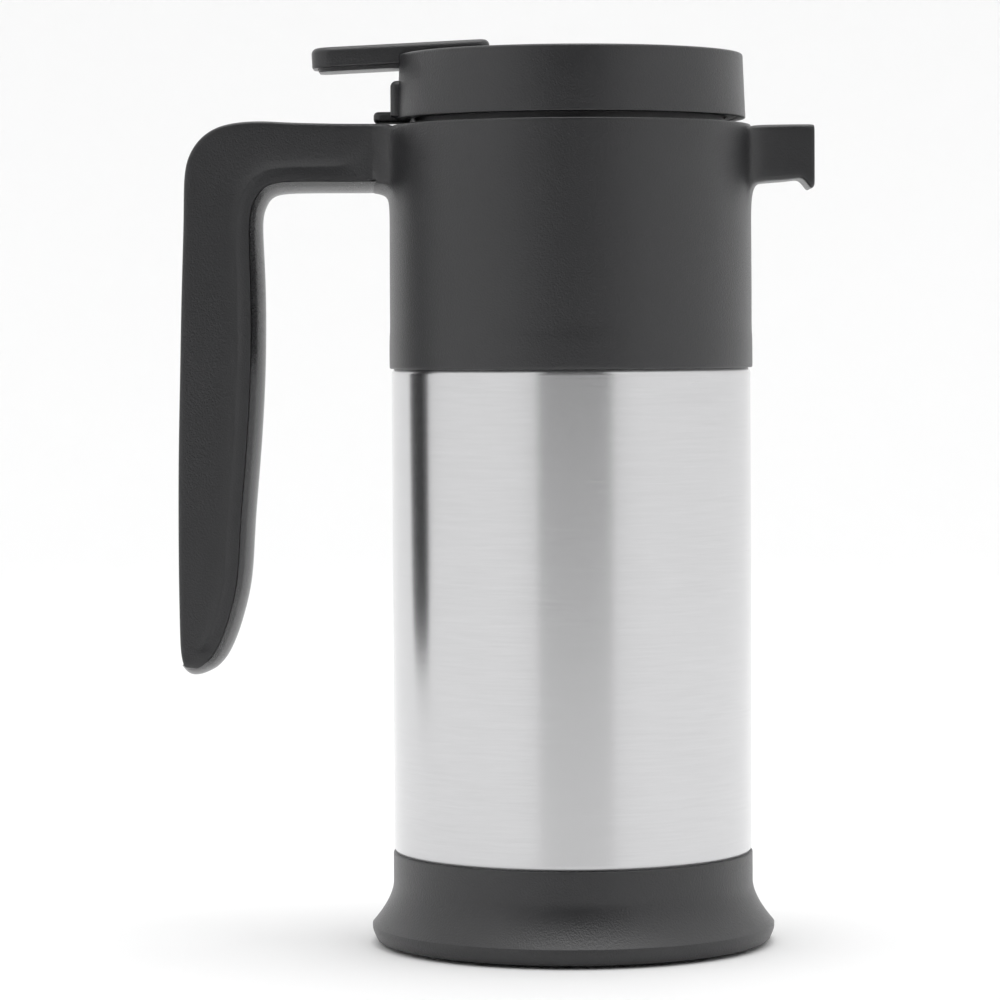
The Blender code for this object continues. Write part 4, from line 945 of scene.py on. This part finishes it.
def make_liner():
    """The double-walled flask, its vacuum space open at the pip in the bottom."""
    outside = reach("glass_liner")
    bottom, top = low("glass_liner"), high("glass_liner")
    glass, gap = 0.0012, 0.0016
    thick = 2 * glass + gap
    neck, bore = 0.0260, 0.0226
    bend = 0.0250

    def wall(depth, neck_radius):
        """One skin from the bottom up to the neck, a depth inside the outer one."""
        turns = [pi / 2 * step / 12 for step in range(13)]
        line = [(outside - bend + (bend - depth) * sin(turn), bottom + bend - (bend - depth) * cos(turn))
                for turn in turns]
        sink = depth * 0.6
        rise = curve_through([(outside - depth, top - 0.0294), (outside - depth - 0.0060, top - 0.0212 - sink),
                              (neck_radius + 0.0040, top - 0.0160 - sink), (neck_radius, top - 0.0108)], 5)
        return line + [tuple(point) for point in rise]

    outline = ([(0, bottom + thick)] + wall(thick, bore)
               + eased([(bore, top - 0.0020), (bore, top, 0.0016), (neck, top, 0.0016), (neck, top - 0.0020)])
               + list(reversed(wall(0, neck))) + [(0.0015, bottom), (0.0015, bottom + glass)]
               + wall(glass, neck - glass) + [(neck - glass, top - 0.0024), (bore + glass * 0.6, top - 0.0024)]
               + list(reversed(wall(glass + gap, bore + glass * 0.6))) + [(0, bottom + glass + gap)])
    present(turned("glass_flask", outline, 128, closed=False), "jug", "silvered_glass", "glass_liner")


def make_stopper():
    top, seat = high("stopper_body"), low("stopper_body")
    seal_low, seal_top = low("stopper_seal"), high("stopper_seal")
    floor = top - 0.0110
    floor_top = floor + 0.0020
    plug, bore = 0.0200, 0.0182
    skirt, skirt_bore = 0.0407, 0.0385
    lip, lip_depth = plug + 0.0012, 0.0007
    guide = 0.0053
    mouth = 0.0070
    above, below = seal_top + SEAM, seal_low - SEAM
    outline = [(skirt, top, 0.0006), (skirt, floor, 0.0009), (plug, floor, 0.0010), (plug, above + lip_depth),
               (lip, above + lip_depth, 0.0002), (lip, above, 0.0002), (plug, above), (plug, below),
               (lip, below, 0.0002), (lip, below - lip_depth, 0.0002), (plug, below - lip_depth),
               (plug, seat, 0.0010), (mouth, seat, 0.0004), (mouth, seat + 0.0020, 0.0004),
               (bore, seat + 0.0020, 0.0008), (bore, floor, 0.0004), (guide, floor), (guide, floor_top),
               (skirt_bore, floor_top, 0.0008), (skirt_bore, top, 0.0006)]
    stopper = turned("stopper", eased(outline, closed=True, steps=4), 128)
    combine(stopper, "UNION", *ridges("stopper ridge", radians(150), floor + 0.0036, skirt - 0.0008,
                                      skirt + 0.0013))
    window_top = floor - 0.0020
    for name, turn in (("windows x", 0), ("windows y", pi / 2)):
        window = soft_block(name, -0.023, 0.023, 0.0060, window_top - 0.0100, window_top, 0.0002, 0.0002, 0.0011,
                            0.0011)
        window.data.transform(Matrix.Rotation(turn, 4, "Z"))
        combine(stopper, "DIFFERENCE", window)
    for number, middle, _, _ in fastened("lid_screw"):
        combine(stopper, "DIFFERENCE", upright(f"stopper hole {number}", SCREW_HOLE, middle, floor - 0.001,
                                               floor_top + 0.001, 32))
    present(stopper, "lid", "inner_plastic", "stopper_body")

    outer, inner = reach("stopper_seal"), plug + SEAM
    lips = 0.0009
    ring = [(outer - lips, seal_top, 0.0004), (outer, seal_top - lips, 0.0005),
            (outer, seal_top - 1.8 * lips, 0.0004), (outer - lips, seal_top - 2.7 * lips, 0.0004),
            (outer, seal_low + 1.8 * lips, 0.0004), (outer, seal_low + lips, 0.0005),
            (outer - lips, seal_low, 0.0004), (inner, seal_low), (inner, seal_top)]
    turned_piece("stopper_gasket", ring, "seal_ring", "silicone", "stopper_seal", 128)

    guide_low, guide_top = low("stem_guide"), high("stem_guide")
    stem = 0.0028
    barrel, flange = guide - SEAM, guide - SEAM + 0.0022
    sleeve = [(flange, guide_top, 0.0004), (flange, guide_top - 0.0015), (barrel, guide_top - 0.0015),
              (barrel, guide_low, 0.0003), (stem, guide_low, 0.0003), (stem, guide_top, 0.0003)]
    turned_piece("stem_bush", sleeve, "lid", "inner_plastic", "stem_guide", SMALL_SIDES, 3)


def make_valve():
    least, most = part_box("valve_stem")
    disc = most.y
    disc_low = high("valve_seal") + SEAM
    disc_top = disc_low + 0.0020
    stem = 0.0025
    bore = stem + SEAM
    shaft = [(0, most.z), (stem, most.z, 0.0008), (stem, disc_top, 0.0006), (disc, disc_top, 0.0005),
             (disc, disc_low, 0.0004), (stem, disc_low), (stem, least.z, 0.0004), (0, least.z)]
    turned_piece("valve_shaft", shaft, "valve", "polished_steel", "valve_stem", SMALL_SIDES, closed=False)
    seal, seal_low, seal_top = reach("valve_seal"), low("valve_seal"), high("valve_seal")
    washer = [(seal, seal_top, 0.0003), (seal, seal_low, 0.0008), (bore, seal_low), (bore, seal_top)]
    turned_piece("valve_washer", washer, "valve", "silicone", "valve_seal", SMALL_SIDES)
    nut, nut_low, nut_top = reach("stem_nut"), low("stem_nut"), high("stem_nut")
    ring = [(nut, nut_top, 0.0006), (nut, nut_low, 0.0006), (bore, nut_low), (bore, nut_top)]
    turned_piece("stem_collar", ring, "valve", "polished_steel", "stem_nut", 48)


# ---- pieces that repeat or follow a path --------------------------------------------
class Tree:
    """A geometry node group with named inputs."""

    def __init__(self, name, inputs):
        self.group = bpy.data.node_groups.new(name, "GeometryNodeTree")
        self.group.is_modifier = True
        self.sockets = {}
        for label, kind, default in inputs:
            socket = self.group.interface.new_socket(label, in_out="INPUT", socket_type=kind)
            if default is not None:
                socket.default_value = default
            self.sockets[label] = socket.identifier
        self.group.interface.new_socket("Geometry", in_out="OUTPUT", socket_type="NodeSocketGeometry")
        self.inlet = self.group.nodes.new("NodeGroupInput")
        self.outlet = self.group.nodes.new("NodeGroupOutput")

    def value(self, label):
        return self.inlet.outputs[label]

    def node(self, kind, settings=None, sockets=None):
        node = self.group.nodes.new(kind)
        for name, value in (settings or {}).items():
            setattr(node, name, value)
        for name, value in (sockets or {}).items():
            if isinstance(value, bpy.types.NodeSocket):
                self.group.links.new(value, node.inputs[name])
            else:
                node.inputs[name].default_value = value
        return node

    def finish(self, geometry):
        """Realize, give the finish and send out."""
        real = self.node("GeometryNodeRealizeInstances", sockets={"Geometry": geometry})
        painted = self.node("GeometryNodeSetMaterial", sockets={"Geometry": real.outputs[0],
                                                                "Material": self.value("Material")})
        self.group.links.new(painted.outputs[0], self.outlet.inputs[0])

    def make(self, name, values):
        """Run the tree on an empty piece and keep the mesh it gives."""
        piece = new_piece(name, bpy.data.meshes.new(name))
        modifier = piece.modifiers.new("Build", "NODES")
        modifier.node_group = self.group
        for label, value in values.items():
            modifier[self.sockets[label]] = value
        return settle(piece)


def spring_tree():
    tree = Tree("Coil spring", (("Turns", "NodeSocketFloat", 6.0), ("Radius", "NodeSocketFloat", 0.0044),
                                ("Height", "NodeSocketFloat", 0.018), ("Start", "NodeSocketFloat", 0.0),
                                ("Wire", "NodeSocketFloat", 0.0005), ("Material", "NodeSocketMaterial", None)))
    spiral = tree.node("GeometryNodeCurveSpiral", sockets={
        "Resolution": 36, "Rotations": tree.value("Turns"), "Start Radius": tree.value("Radius"),
        "End Radius": tree.value("Radius"), "Height": tree.value("Height")})
    wire = tree.node("GeometryNodeCurvePrimitiveCircle", sockets={"Resolution": 14, "Radius": tree.value("Wire")})
    tube = tree.node("GeometryNodeCurveToMesh", sockets={
        "Curve": spiral.outputs[0], "Profile Curve": wire.outputs[0], "Fill Caps": True})
    lift = tree.node("ShaderNodeCombineXYZ", sockets={"Z": tree.value("Start")})
    moved = tree.node("GeometryNodeTransform", sockets={
        "Geometry": tube.outputs[0], "Translation": lift.outputs[0]})
    soft = tree.node("GeometryNodeSetShadeSmooth", sockets={"Geometry": moved.outputs[0]})
    tree.finish(soft.outputs[0])
    return tree


def screw_tree():
    tree = Tree("Ring of screws", (("Screw", "NodeSocketObject", None), ("Count", "NodeSocketInt", 3),
                                   ("Radius", "NodeSocketFloat", 0.03), ("First angle", "NodeSocketFloat", 0.0),
                                   ("Height", "NodeSocketFloat", 0.0), ("Material", "NodeSocketMaterial", None)))
    circle = tree.node("GeometryNodeMeshCircle", sockets={"Vertices": tree.value("Count"),
                                                          "Radius": tree.value("Radius")})
    turn = tree.node("ShaderNodeCombineXYZ", sockets={"Z": tree.value("First angle")})
    lift = tree.node("ShaderNodeCombineXYZ", sockets={"Z": tree.value("Height")})
    placed = tree.node("GeometryNodeTransform", sockets={
        "Geometry": circle.outputs[0], "Translation": lift.outputs[0], "Rotation": turn.outputs[0]})
    screw = tree.node("GeometryNodeObjectInfo", sockets={"Object": tree.value("Screw")})
    copies = tree.node("GeometryNodeInstanceOnPoints", sockets={"Points": placed.outputs[0],
                                                                "Instance": screw.outputs["Geometry"]})
    tree.finish(copies.outputs[0])
    return tree


def screw_template(head_radius, head_height, shank_radius, size):
    """A pan-head screw pointing up, its head at the bottom with a cross recess."""
    outline = [(0, size), (shank_radius * 0.5, size), (shank_radius, size - shank_radius, 0.0003)]
    turns = 9
    pitch = (size - shank_radius - head_height * 1.3) / turns
    for turn in range(turns):
        z = size - shank_radius - pitch * turn
        outline += [(shank_radius, z), (shank_radius * 0.84, z - pitch * 0.5)]
    outline += [(shank_radius, head_height * 1.2), (shank_radius, head_height), (head_radius, head_height, 0.0001),
                (head_radius, head_height * 0.55, head_height * 0.4),
                (head_radius * 0.7, 0, head_height * 0.4), (0, 0)]
    screw = turned("screw template", eased(outline, steps=4), 40, closed=False)
    recess = head_radius * 0.62
    for turn in (0, pi / 2):
        slot = soft_block("recess", -recess, recess, head_radius * 0.13, -0.001, head_height * 0.55, 0.0001,
                          0.0001, 0.0002, 0.0001, steps=2)
        slot.data.transform(Matrix.Rotation(turn, 4, "Z"))
        combine(screw, "DIFFERENCE", slot)
    smooth(screw)
    return screw


def make_screws():
    tree = screw_tree()
    for name, node, body in (("foot_screws", "foot_screw", "jug"), ("funnel_screws", "funnel_screw", "jug"),
                             ("lid_screws", "lid_screw", "lid")):
        least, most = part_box(f"{node}_1")
        middle = (least + most) / 2
        head = (most.x - least.x) / 2
        head_height = head * 0.6 if head > 0.0025 else head * 0.65
        template = screw_template(head, head_height, head / 2, most.z - least.z)
        angle = Vector((1, 0)).angle_signed(Vector((middle.x, -middle.y)))
        piece = tree.make(name, {
            "Screw": template, "Count": 3, "Radius": Vector((middle.x, middle.y)).length,
            "First angle": angle, "Height": least.z, "Material": finishes()["polished_steel"]})
        bpy.data.objects.remove(template)
        present(piece, body, "polished_steel", f"{node}_1", f"{node}_2", f"{node}_3")


def make_spring():
    least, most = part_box("return_spring")
    wire = 0.0005
    radius = most.y - wire
    piece = spring_tree().make("valve_spring", {
        "Turns": 5.5, "Radius": radius, "Height": most.z - least.z - 2 * wire, "Start": least.z + wire,
        "Wire": wire, "Material": finishes()["polished_steel"]})
    present(piece, "lid", "polished_steel", "return_spring", angle=60)
    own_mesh(piece)


# ---- lid and lever ------------------------------------------------------------------
def flared_cut(name, x_low, x_high, half_width, z_low, z_high, soft):
    """A cutter whose upper edge spreads, so that the slot it leaves has rounded lips."""
    turns = [pi / 2 * step / 5 for step in range(6)]
    side = [(half_width, z_low)]
    side += [(half_width + soft * (1 - cos(turn)), z_high - soft + soft * sin(turn)) for turn in turns]
    side += [(half_width + soft, z_high + 0.003)]
    line = [(-y, z) for y, z in side] + side[::-1]
    return loft(name, [[(x, y, z) for y, z in line] for x in (x_low, x_high)])


def make_lid():
    sizes = bpy.context.scene.carafe_lid
    foot, top = sizes.lower_edge, high("lid_cap")
    radius = sizes.radius
    inner = reach("lid_base_ring") + 0.0002
    plate = top - sizes.wall
    pin_x, pin_z = hinge()
    well_floor = pin_z - 0.0035
    well_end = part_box("lever_cover")[1].x + 0.0018
    well_side = sizes.well_half_width + 0.0015
    column_low = high("stopper_body") - COLUMN_FOOT
    tab_low, tab_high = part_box("lid_base_ring")
    outline = [(0, top), (radius - sizes.taper, top, sizes.edge), (radius, foot, 0.0005), (inner, foot, 0.0003),
               (inner - sizes.taper, plate, 0.0008), (0, plate)]
    lid = turned("lid", eased(outline, steps=6), closed=False)
    combine(lid, "UNION", soft_block("well", -inner, well_end + 0.0015, well_side, well_floor - 0.0015,
                                     top - 0.0010, 0.0003, 0.0030, 0.0002, 0.0004))
    combine(lid, "UNION", soft_block("back pad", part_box("lid_cap")[0].x, -inner + 0.0004, 0.0115, foot + 0.0006,
                                     well_floor, 0.0016, 0.0003, 0.0018, 0.0005))
    for number, middle, _, _ in fastened("lid_screw"):
        combine(lid, "UNION", upright(f"column {number}", 0.0036, middle, column_low, plate + 0.001, 40))
    combine(lid, "DIFFERENCE", flared_cut("lever slot", -radius - 0.010, well_end, sizes.well_half_width,
                                          well_floor, top, 0.0006))
    combine(lid, "DIFFERENCE", soft_block("arm slot", pin_x + 0.0030, well_end + 0.0025, 0.0060,
                                          well_floor - 0.004, plate, 0.0003, 0.0003, 0.0002, 0.0002))
    combine(lid, "DIFFERENCE", rod("pin bore", PIN_BORE, (pin_x, -well_side - 0.001, pin_z),
                                   (pin_x, well_side + 0.001, pin_z), 32))
    for number, middle, _, most in fastened("lid_screw"):
        combine(lid, "DIFFERENCE", upright(f"column bore {number}", SCREW_HOLE, middle, column_low - 0.001,
                                           most.z + 0.0012, 24))
    combine(lid, "DIFFERENCE", soft_block("tab notch", -radius - 0.001, -inner + 0.002, 0.0063, foot - 0.001,
                                          tab_low.z + 0.0034, 0.0002, 0.0002, 0.0006, 0.0001))
    present(lid, "lid", "charcoal_plastic", "lid_cap", angle=28)

    ring_low, ring_top = foot + SEAM, tab_high.z
    ring_out, ring_bore = inner - SEAM, 0.0453
    outline = [(ring_out, ring_top, 0.0004), (ring_out, ring_low, 0.0004), (ring_bore, ring_low, 0.0004),
               (ring_bore, ring_top, 0.0004)]
    ring = turned("lid_ring", eased(outline, closed=True, steps=3))
    combine(ring, "UNION", soft_block("tab", tab_low.x, -ring_bore - 0.0006, 0.0060, tab_low.z, tab_low.z + 0.0031,
                                      0.0022, 0.0002, 0.0012, 0.0009))
    present(ring, "lid", "charcoal_plastic", "lid_base_ring")

    least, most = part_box("lever_pin")
    pin = rod("hinge_pin", (most.x - least.x) / 2, (pin_x, least.y, pin_z), (pin_x, most.y, pin_z), 40,
              chamfer=0.0003)
    present(pin, "lid", "polished_steel", "lever_pin")


def make_lever():
    sizes = bpy.context.scene.carafe_lid
    pin_x, pin_z = hinge()
    pin = Vector((pin_x, 0, pin_z))
    thumb, nose, half = 0.0361, 0.0152, 0.0098      # from the pin each way, and across
    floor, roof = 0.0020, 0.00785                   # of the thumb cap, above the pin
    shell = 0.0015
    pocket_roof = roof - shell - 0.0005
    core_side = half - shell - SEAM
    tilt = Matrix.Translation(pin) @ Matrix.Rotation(-sizes.lever_tilt, 4, "Y")

    def layer(name, inset, z_low, z_high, top, bottom, steps=5):
        """A block of the lever's outline, drawn in by an inset."""
        return soft_block(name, inset - thumb, nose - inset, half - inset, z_low, z_high,
                          sizes.thumb_corner - inset, sizes.nose_corner - inset, top, bottom, steps)

    cover = layer("lever_pad", 0, floor, roof, 0.0017, 0.0005, 8)
    combine(cover, "DIFFERENCE", layer("cover pocket", shell, floor - 0.002, pocket_roof, 0.0004, 0.0001))
    cover.data.transform(tilt)
    present(cover, "lever", "charcoal_plastic", "lever_cover")

    arm = layer("lever_core", shell + SEAM, floor - 0.0011, pocket_roof - SEAM, 0.0005, 0.0003)
    stem = -pin.x                                   # from the pin to the valve's stem
    fork_top = (low("stem_nut") - 0.0011 - pin.z) - stem * sin(sizes.lever_tilt)
    fork_low = fork_top - 0.0024
    end = stem + 0.0042
    upper = curve_through([(-0.0010, 0.0020), (0.0090, 0.0010), (0.0150, -0.0022),
                           (stem - 0.0110, fork_top + 0.0016), (stem - 0.0050, fork_top), (end, fork_top)], 4)
    lower = curve_through([(end, fork_low), (stem - 0.0070, fork_low), (stem - 0.0140, fork_low + 0.0020),
                           (0.0090, -0.0032), (-0.0010, -0.0020)], 4)
    tongue = loft("tongue", [[(x, y, z) for x, z in upper + lower] for y in (-0.0055, 0.0055)])
    hub = rod("hub", 0.0030, (0, -core_side, 0), (0, core_side, 0), 48)
    combine(arm, "UNION", hub, tongue)
    bore = rod("hub bore", PIN_BORE, (0, -half, 0), (0, half, 0), 40)
    slot = soft_block("fork slot", stem - 0.0058, end + 0.004, 0.0031, fork_low - 0.004, fork_top + 0.004, 0.0010,
                      0.0002, 0.0002, 0.0002)
    combine(arm, "DIFFERENCE", bore, slot)
    arm.data.transform(tilt)
    present(arm, "lever", "charcoal_plastic", "lever_arm")


# ---- pieces kept as the frame has them -------------------------------------------------------------
def finish_nodes():
    """Give the three nodes of the frame that are kept as they are their own finishes."""
    slots = {"support_cup": "inner_plastic", "liner_cushion": "elastomer", "neck_seal": "silicone"}
    for node, slot in slots.items():
        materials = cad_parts[node].data.materials
        materials.clear()
        materials.append(finishes()[slot])


# ---- stage --------------------------------------------------------------------------
def make_camera():
    """A long lens that looks down a little."""
    down, roll = radians(2.28), radians(0.3)
    data = bpy.data.cameras.new("Camera")
    data.lens = 149
    data.sensor_width = 36
    data.clip_end = 50
    camera = bpy.data.objects.new("Camera", data)
    camera.location = (-0.0205, -1.2, 0.176)
    camera.rotation_euler = (pi / 2 - down, roll, 0)
    bpy.context.scene.collection.objects.link(camera)
    bpy.context.scene.camera = camera


def softbox(name, place, aim, width, tall, radiance):
    """A large soft light that faces a point and isn't seen itself."""
    data = bpy.data.lights.new(name, "AREA")
    data.shape = "RECTANGLE"
    data.size = width
    data.size_y = tall
    data.energy = radiance * pi * width * tall
    light = bpy.data.objects.new(name, data)
    light.location = place
    light.rotation_euler = (Vector(aim) - Vector(place)).to_track_quat("-Z", "Y").to_euler()
    light.visible_camera = False
    bpy.context.scene.collection.objects.link(light)


def make_backdrop():
    """A pale round floor that sweeps up into a wall."""
    size, wall, bend = 2.8, 1.5, 0.9
    line = [(0, 0), (size - bend, 0)]
    line += [(size - bend + bend * sin(pi / 2 * s / 12), bend - bend * cos(pi / 2 * s / 12)) for s in range(1, 13)]
    line += [(size, wall)]
    bowl = turned("backdrop", line, 96, closed=False)
    finish = Finish("pale backdrop", Roughness=0.85)
    cloud = finish.noise(finish.place(), 0.9, 2.0)
    finish.wear(Base_Color=finish.tint(cloud, (0.86, 0.86, 0.86), (0.88, 0.88, 0.88)))
    bowl.data.materials.append(finish.material)
    smooth(bowl, 60)
    bowl.location.z = -0.0002
    bpy.context.view_layer.update()


def make_flag():
    """A dark card behind the camera, which gives the steel its grey band."""
    steps = 8
    turns = [radians(-22 + 47 * step / steps) for step in range(steps + 1)]
    corners = [(1.9 * sin(turn), -1.9 * cos(turn), z) for turn in turns for z in (0.20, 2.6)]
    faces = [(2 * i, 2 * i + 2, 2 * i + 3, 2 * i + 1) for i in range(steps)]
    card = skin("flag", corners, faces, outward=False)
    finish = Finish("dark card", Roughness=0.9)
    weave = finish.noise(finish.place(), 0.02, 2.0)
    finish.wear(Base_Color=finish.tint(weave, (0.030, 0.030, 0.030), (0.045, 0.045, 0.045)))
    card.data.materials.append(finish.material)
    card.visible_camera = False


def make_light():
    softbox("overhead softbox", (0.1, -0.1, 2.3), (0, 0, 0.1), 1.5, 1.5, 2.8)
    world = bpy.data.worlds.new("Sky")
    world.use_nodes = True
    sky = world.node_tree.nodes["Background"].inputs
    sky["Color"].default_value = (1, 1, 1, 1)
    sky["Strength"].default_value = 1.12
    bpy.context.scene.world = world
    bpy.context.scene.view_settings.view_transform = "Standard"


# ---- operators, panel and registration ----------------------------------------------
class CARAFE_OT_stage(bpy.types.Operator):
    """Add the camera, the lights and the pale backdrop"""
    bl_idname = "carafe.stage"
    bl_label = "Stage"

    def execute(self, context):
        make_camera()
        make_backdrop()
        make_flag()
        make_light()
        return {"FINISHED"}


class CARAFE_OT_base(bpy.types.Operator):
    """Make the flared foot, its grip pad and the steel body"""
    bl_idname = "carafe.base"
    bl_label = "Foot and steel body"

    def execute(self, context):
        make_foot()
        make_sleeve()
        return {"FINISHED"}


class CARAFE_OT_shoulder(bpy.types.Operator):
    """Make the shoulder with its handle and spout, and the grip cover"""
    bl_idname = "carafe.shoulder"
    bl_label = "Shoulder, handle and spout"

    def execute(self, context):
        make_shoulder()
        make_handle_cover()
        make_nozzle()
        return {"FINISHED"}


class CARAFE_OT_funnel(bpy.types.Operator):
    """Make the pouring funnel and the glass flask"""
    bl_idname = "carafe.funnel"
    bl_label = "Funnel and flask"

    def execute(self, context):
        make_funnel()
        make_liner()
        return {"FINISHED"}


class CARAFE_OT_stopper(bpy.types.Operator):
    """Make the stopper, its seals and the valve"""
    bl_idname = "carafe.stopper"
    bl_label = "Stopper and valve"

    def execute(self, context):
        make_stopper()
        make_valve()
        return {"FINISHED"}


class CARAFE_OT_lid(bpy.types.Operator):
    """Make the lid, its base ring, the lever and the hinge pin"""
    bl_idname = "carafe.lid"
    bl_label = "Lid and lever"

    def execute(self, context):
        make_lid()
        make_lever()
        return {"FINISHED"}


class CARAFE_OT_fasteners(bpy.types.Operator):
    """Make the rings of screws and the valve's spring"""
    bl_idname = "carafe.fasteners"
    bl_label = "Screws and spring"

    def execute(self, context):
        make_screws()
        make_spring()
        return {"FINISHED"}


class CARAFE_OT_inner(bpy.types.Operator):
    """Give the pieces inside the body their finishes"""
    bl_idname = "carafe.inner"
    bl_label = "Inner pieces"

    def execute(self, context):
        finish_nodes()
        return {"FINISHED"}


OPERATORS = (CARAFE_OT_stage, CARAFE_OT_base, CARAFE_OT_shoulder, CARAFE_OT_funnel, CARAFE_OT_stopper,
             CARAFE_OT_lid, CARAFE_OT_fasteners, CARAFE_OT_inner)
GROUPS = (("carafe_body", CarafeBodySizes), ("carafe_handle", CarafeHandleSizes), ("carafe_lid", CarafeLidSizes),
          ("carafe_colours", CarafeColours))


class CARAFE_PT_panel(bpy.types.Panel):
    """Sizes, colours and makers of the carafe"""
    bl_idname = "CARAFE_PT_panel"
    bl_label = "Carafe"
    bl_space_type = "VIEW_3D"
    bl_region_type = "UI"
    bl_category = "Carafe"

    def draw(self, context):
        for operator in OPERATORS:
            self.layout.operator(operator.bl_idname)
        for name, group in GROUPS:
            box = self.layout.box()
            for prop in group.bl_rna.properties:
                if prop.identifier not in {"rna_type", "name"}:
                    box.prop(getattr(context.scene, name), prop.identifier)


def register():
    for _, group in GROUPS:
        bpy.utils.register_class(group)
    for operator in OPERATORS:
        bpy.utils.register_class(operator)
    bpy.utils.register_class(CARAFE_PT_panel)
    for name, group in GROUPS:
        setattr(bpy.types.Scene, name, bpy.props.PointerProperty(type=group))


def unregister():
    for name, _ in GROUPS:
        delattr(bpy.types.Scene, name)
    for kind in (CARAFE_PT_panel, *reversed(OPERATORS)):
        bpy.utils.unregister_class(kind)
    for _, group in reversed(GROUPS):
        bpy.utils.unregister_class(group)


def main():
    register()
    bpy.ops.carafe.stage()
    bpy.ops.carafe.base()
    bpy.ops.carafe.shoulder()
    bpy.ops.carafe.funnel()
    bpy.ops.carafe.stopper()
    bpy.ops.carafe.lid()
    bpy.ops.carafe.fasteners()
    bpy.ops.carafe.inner()


if __name__ == "__main__":
    main()
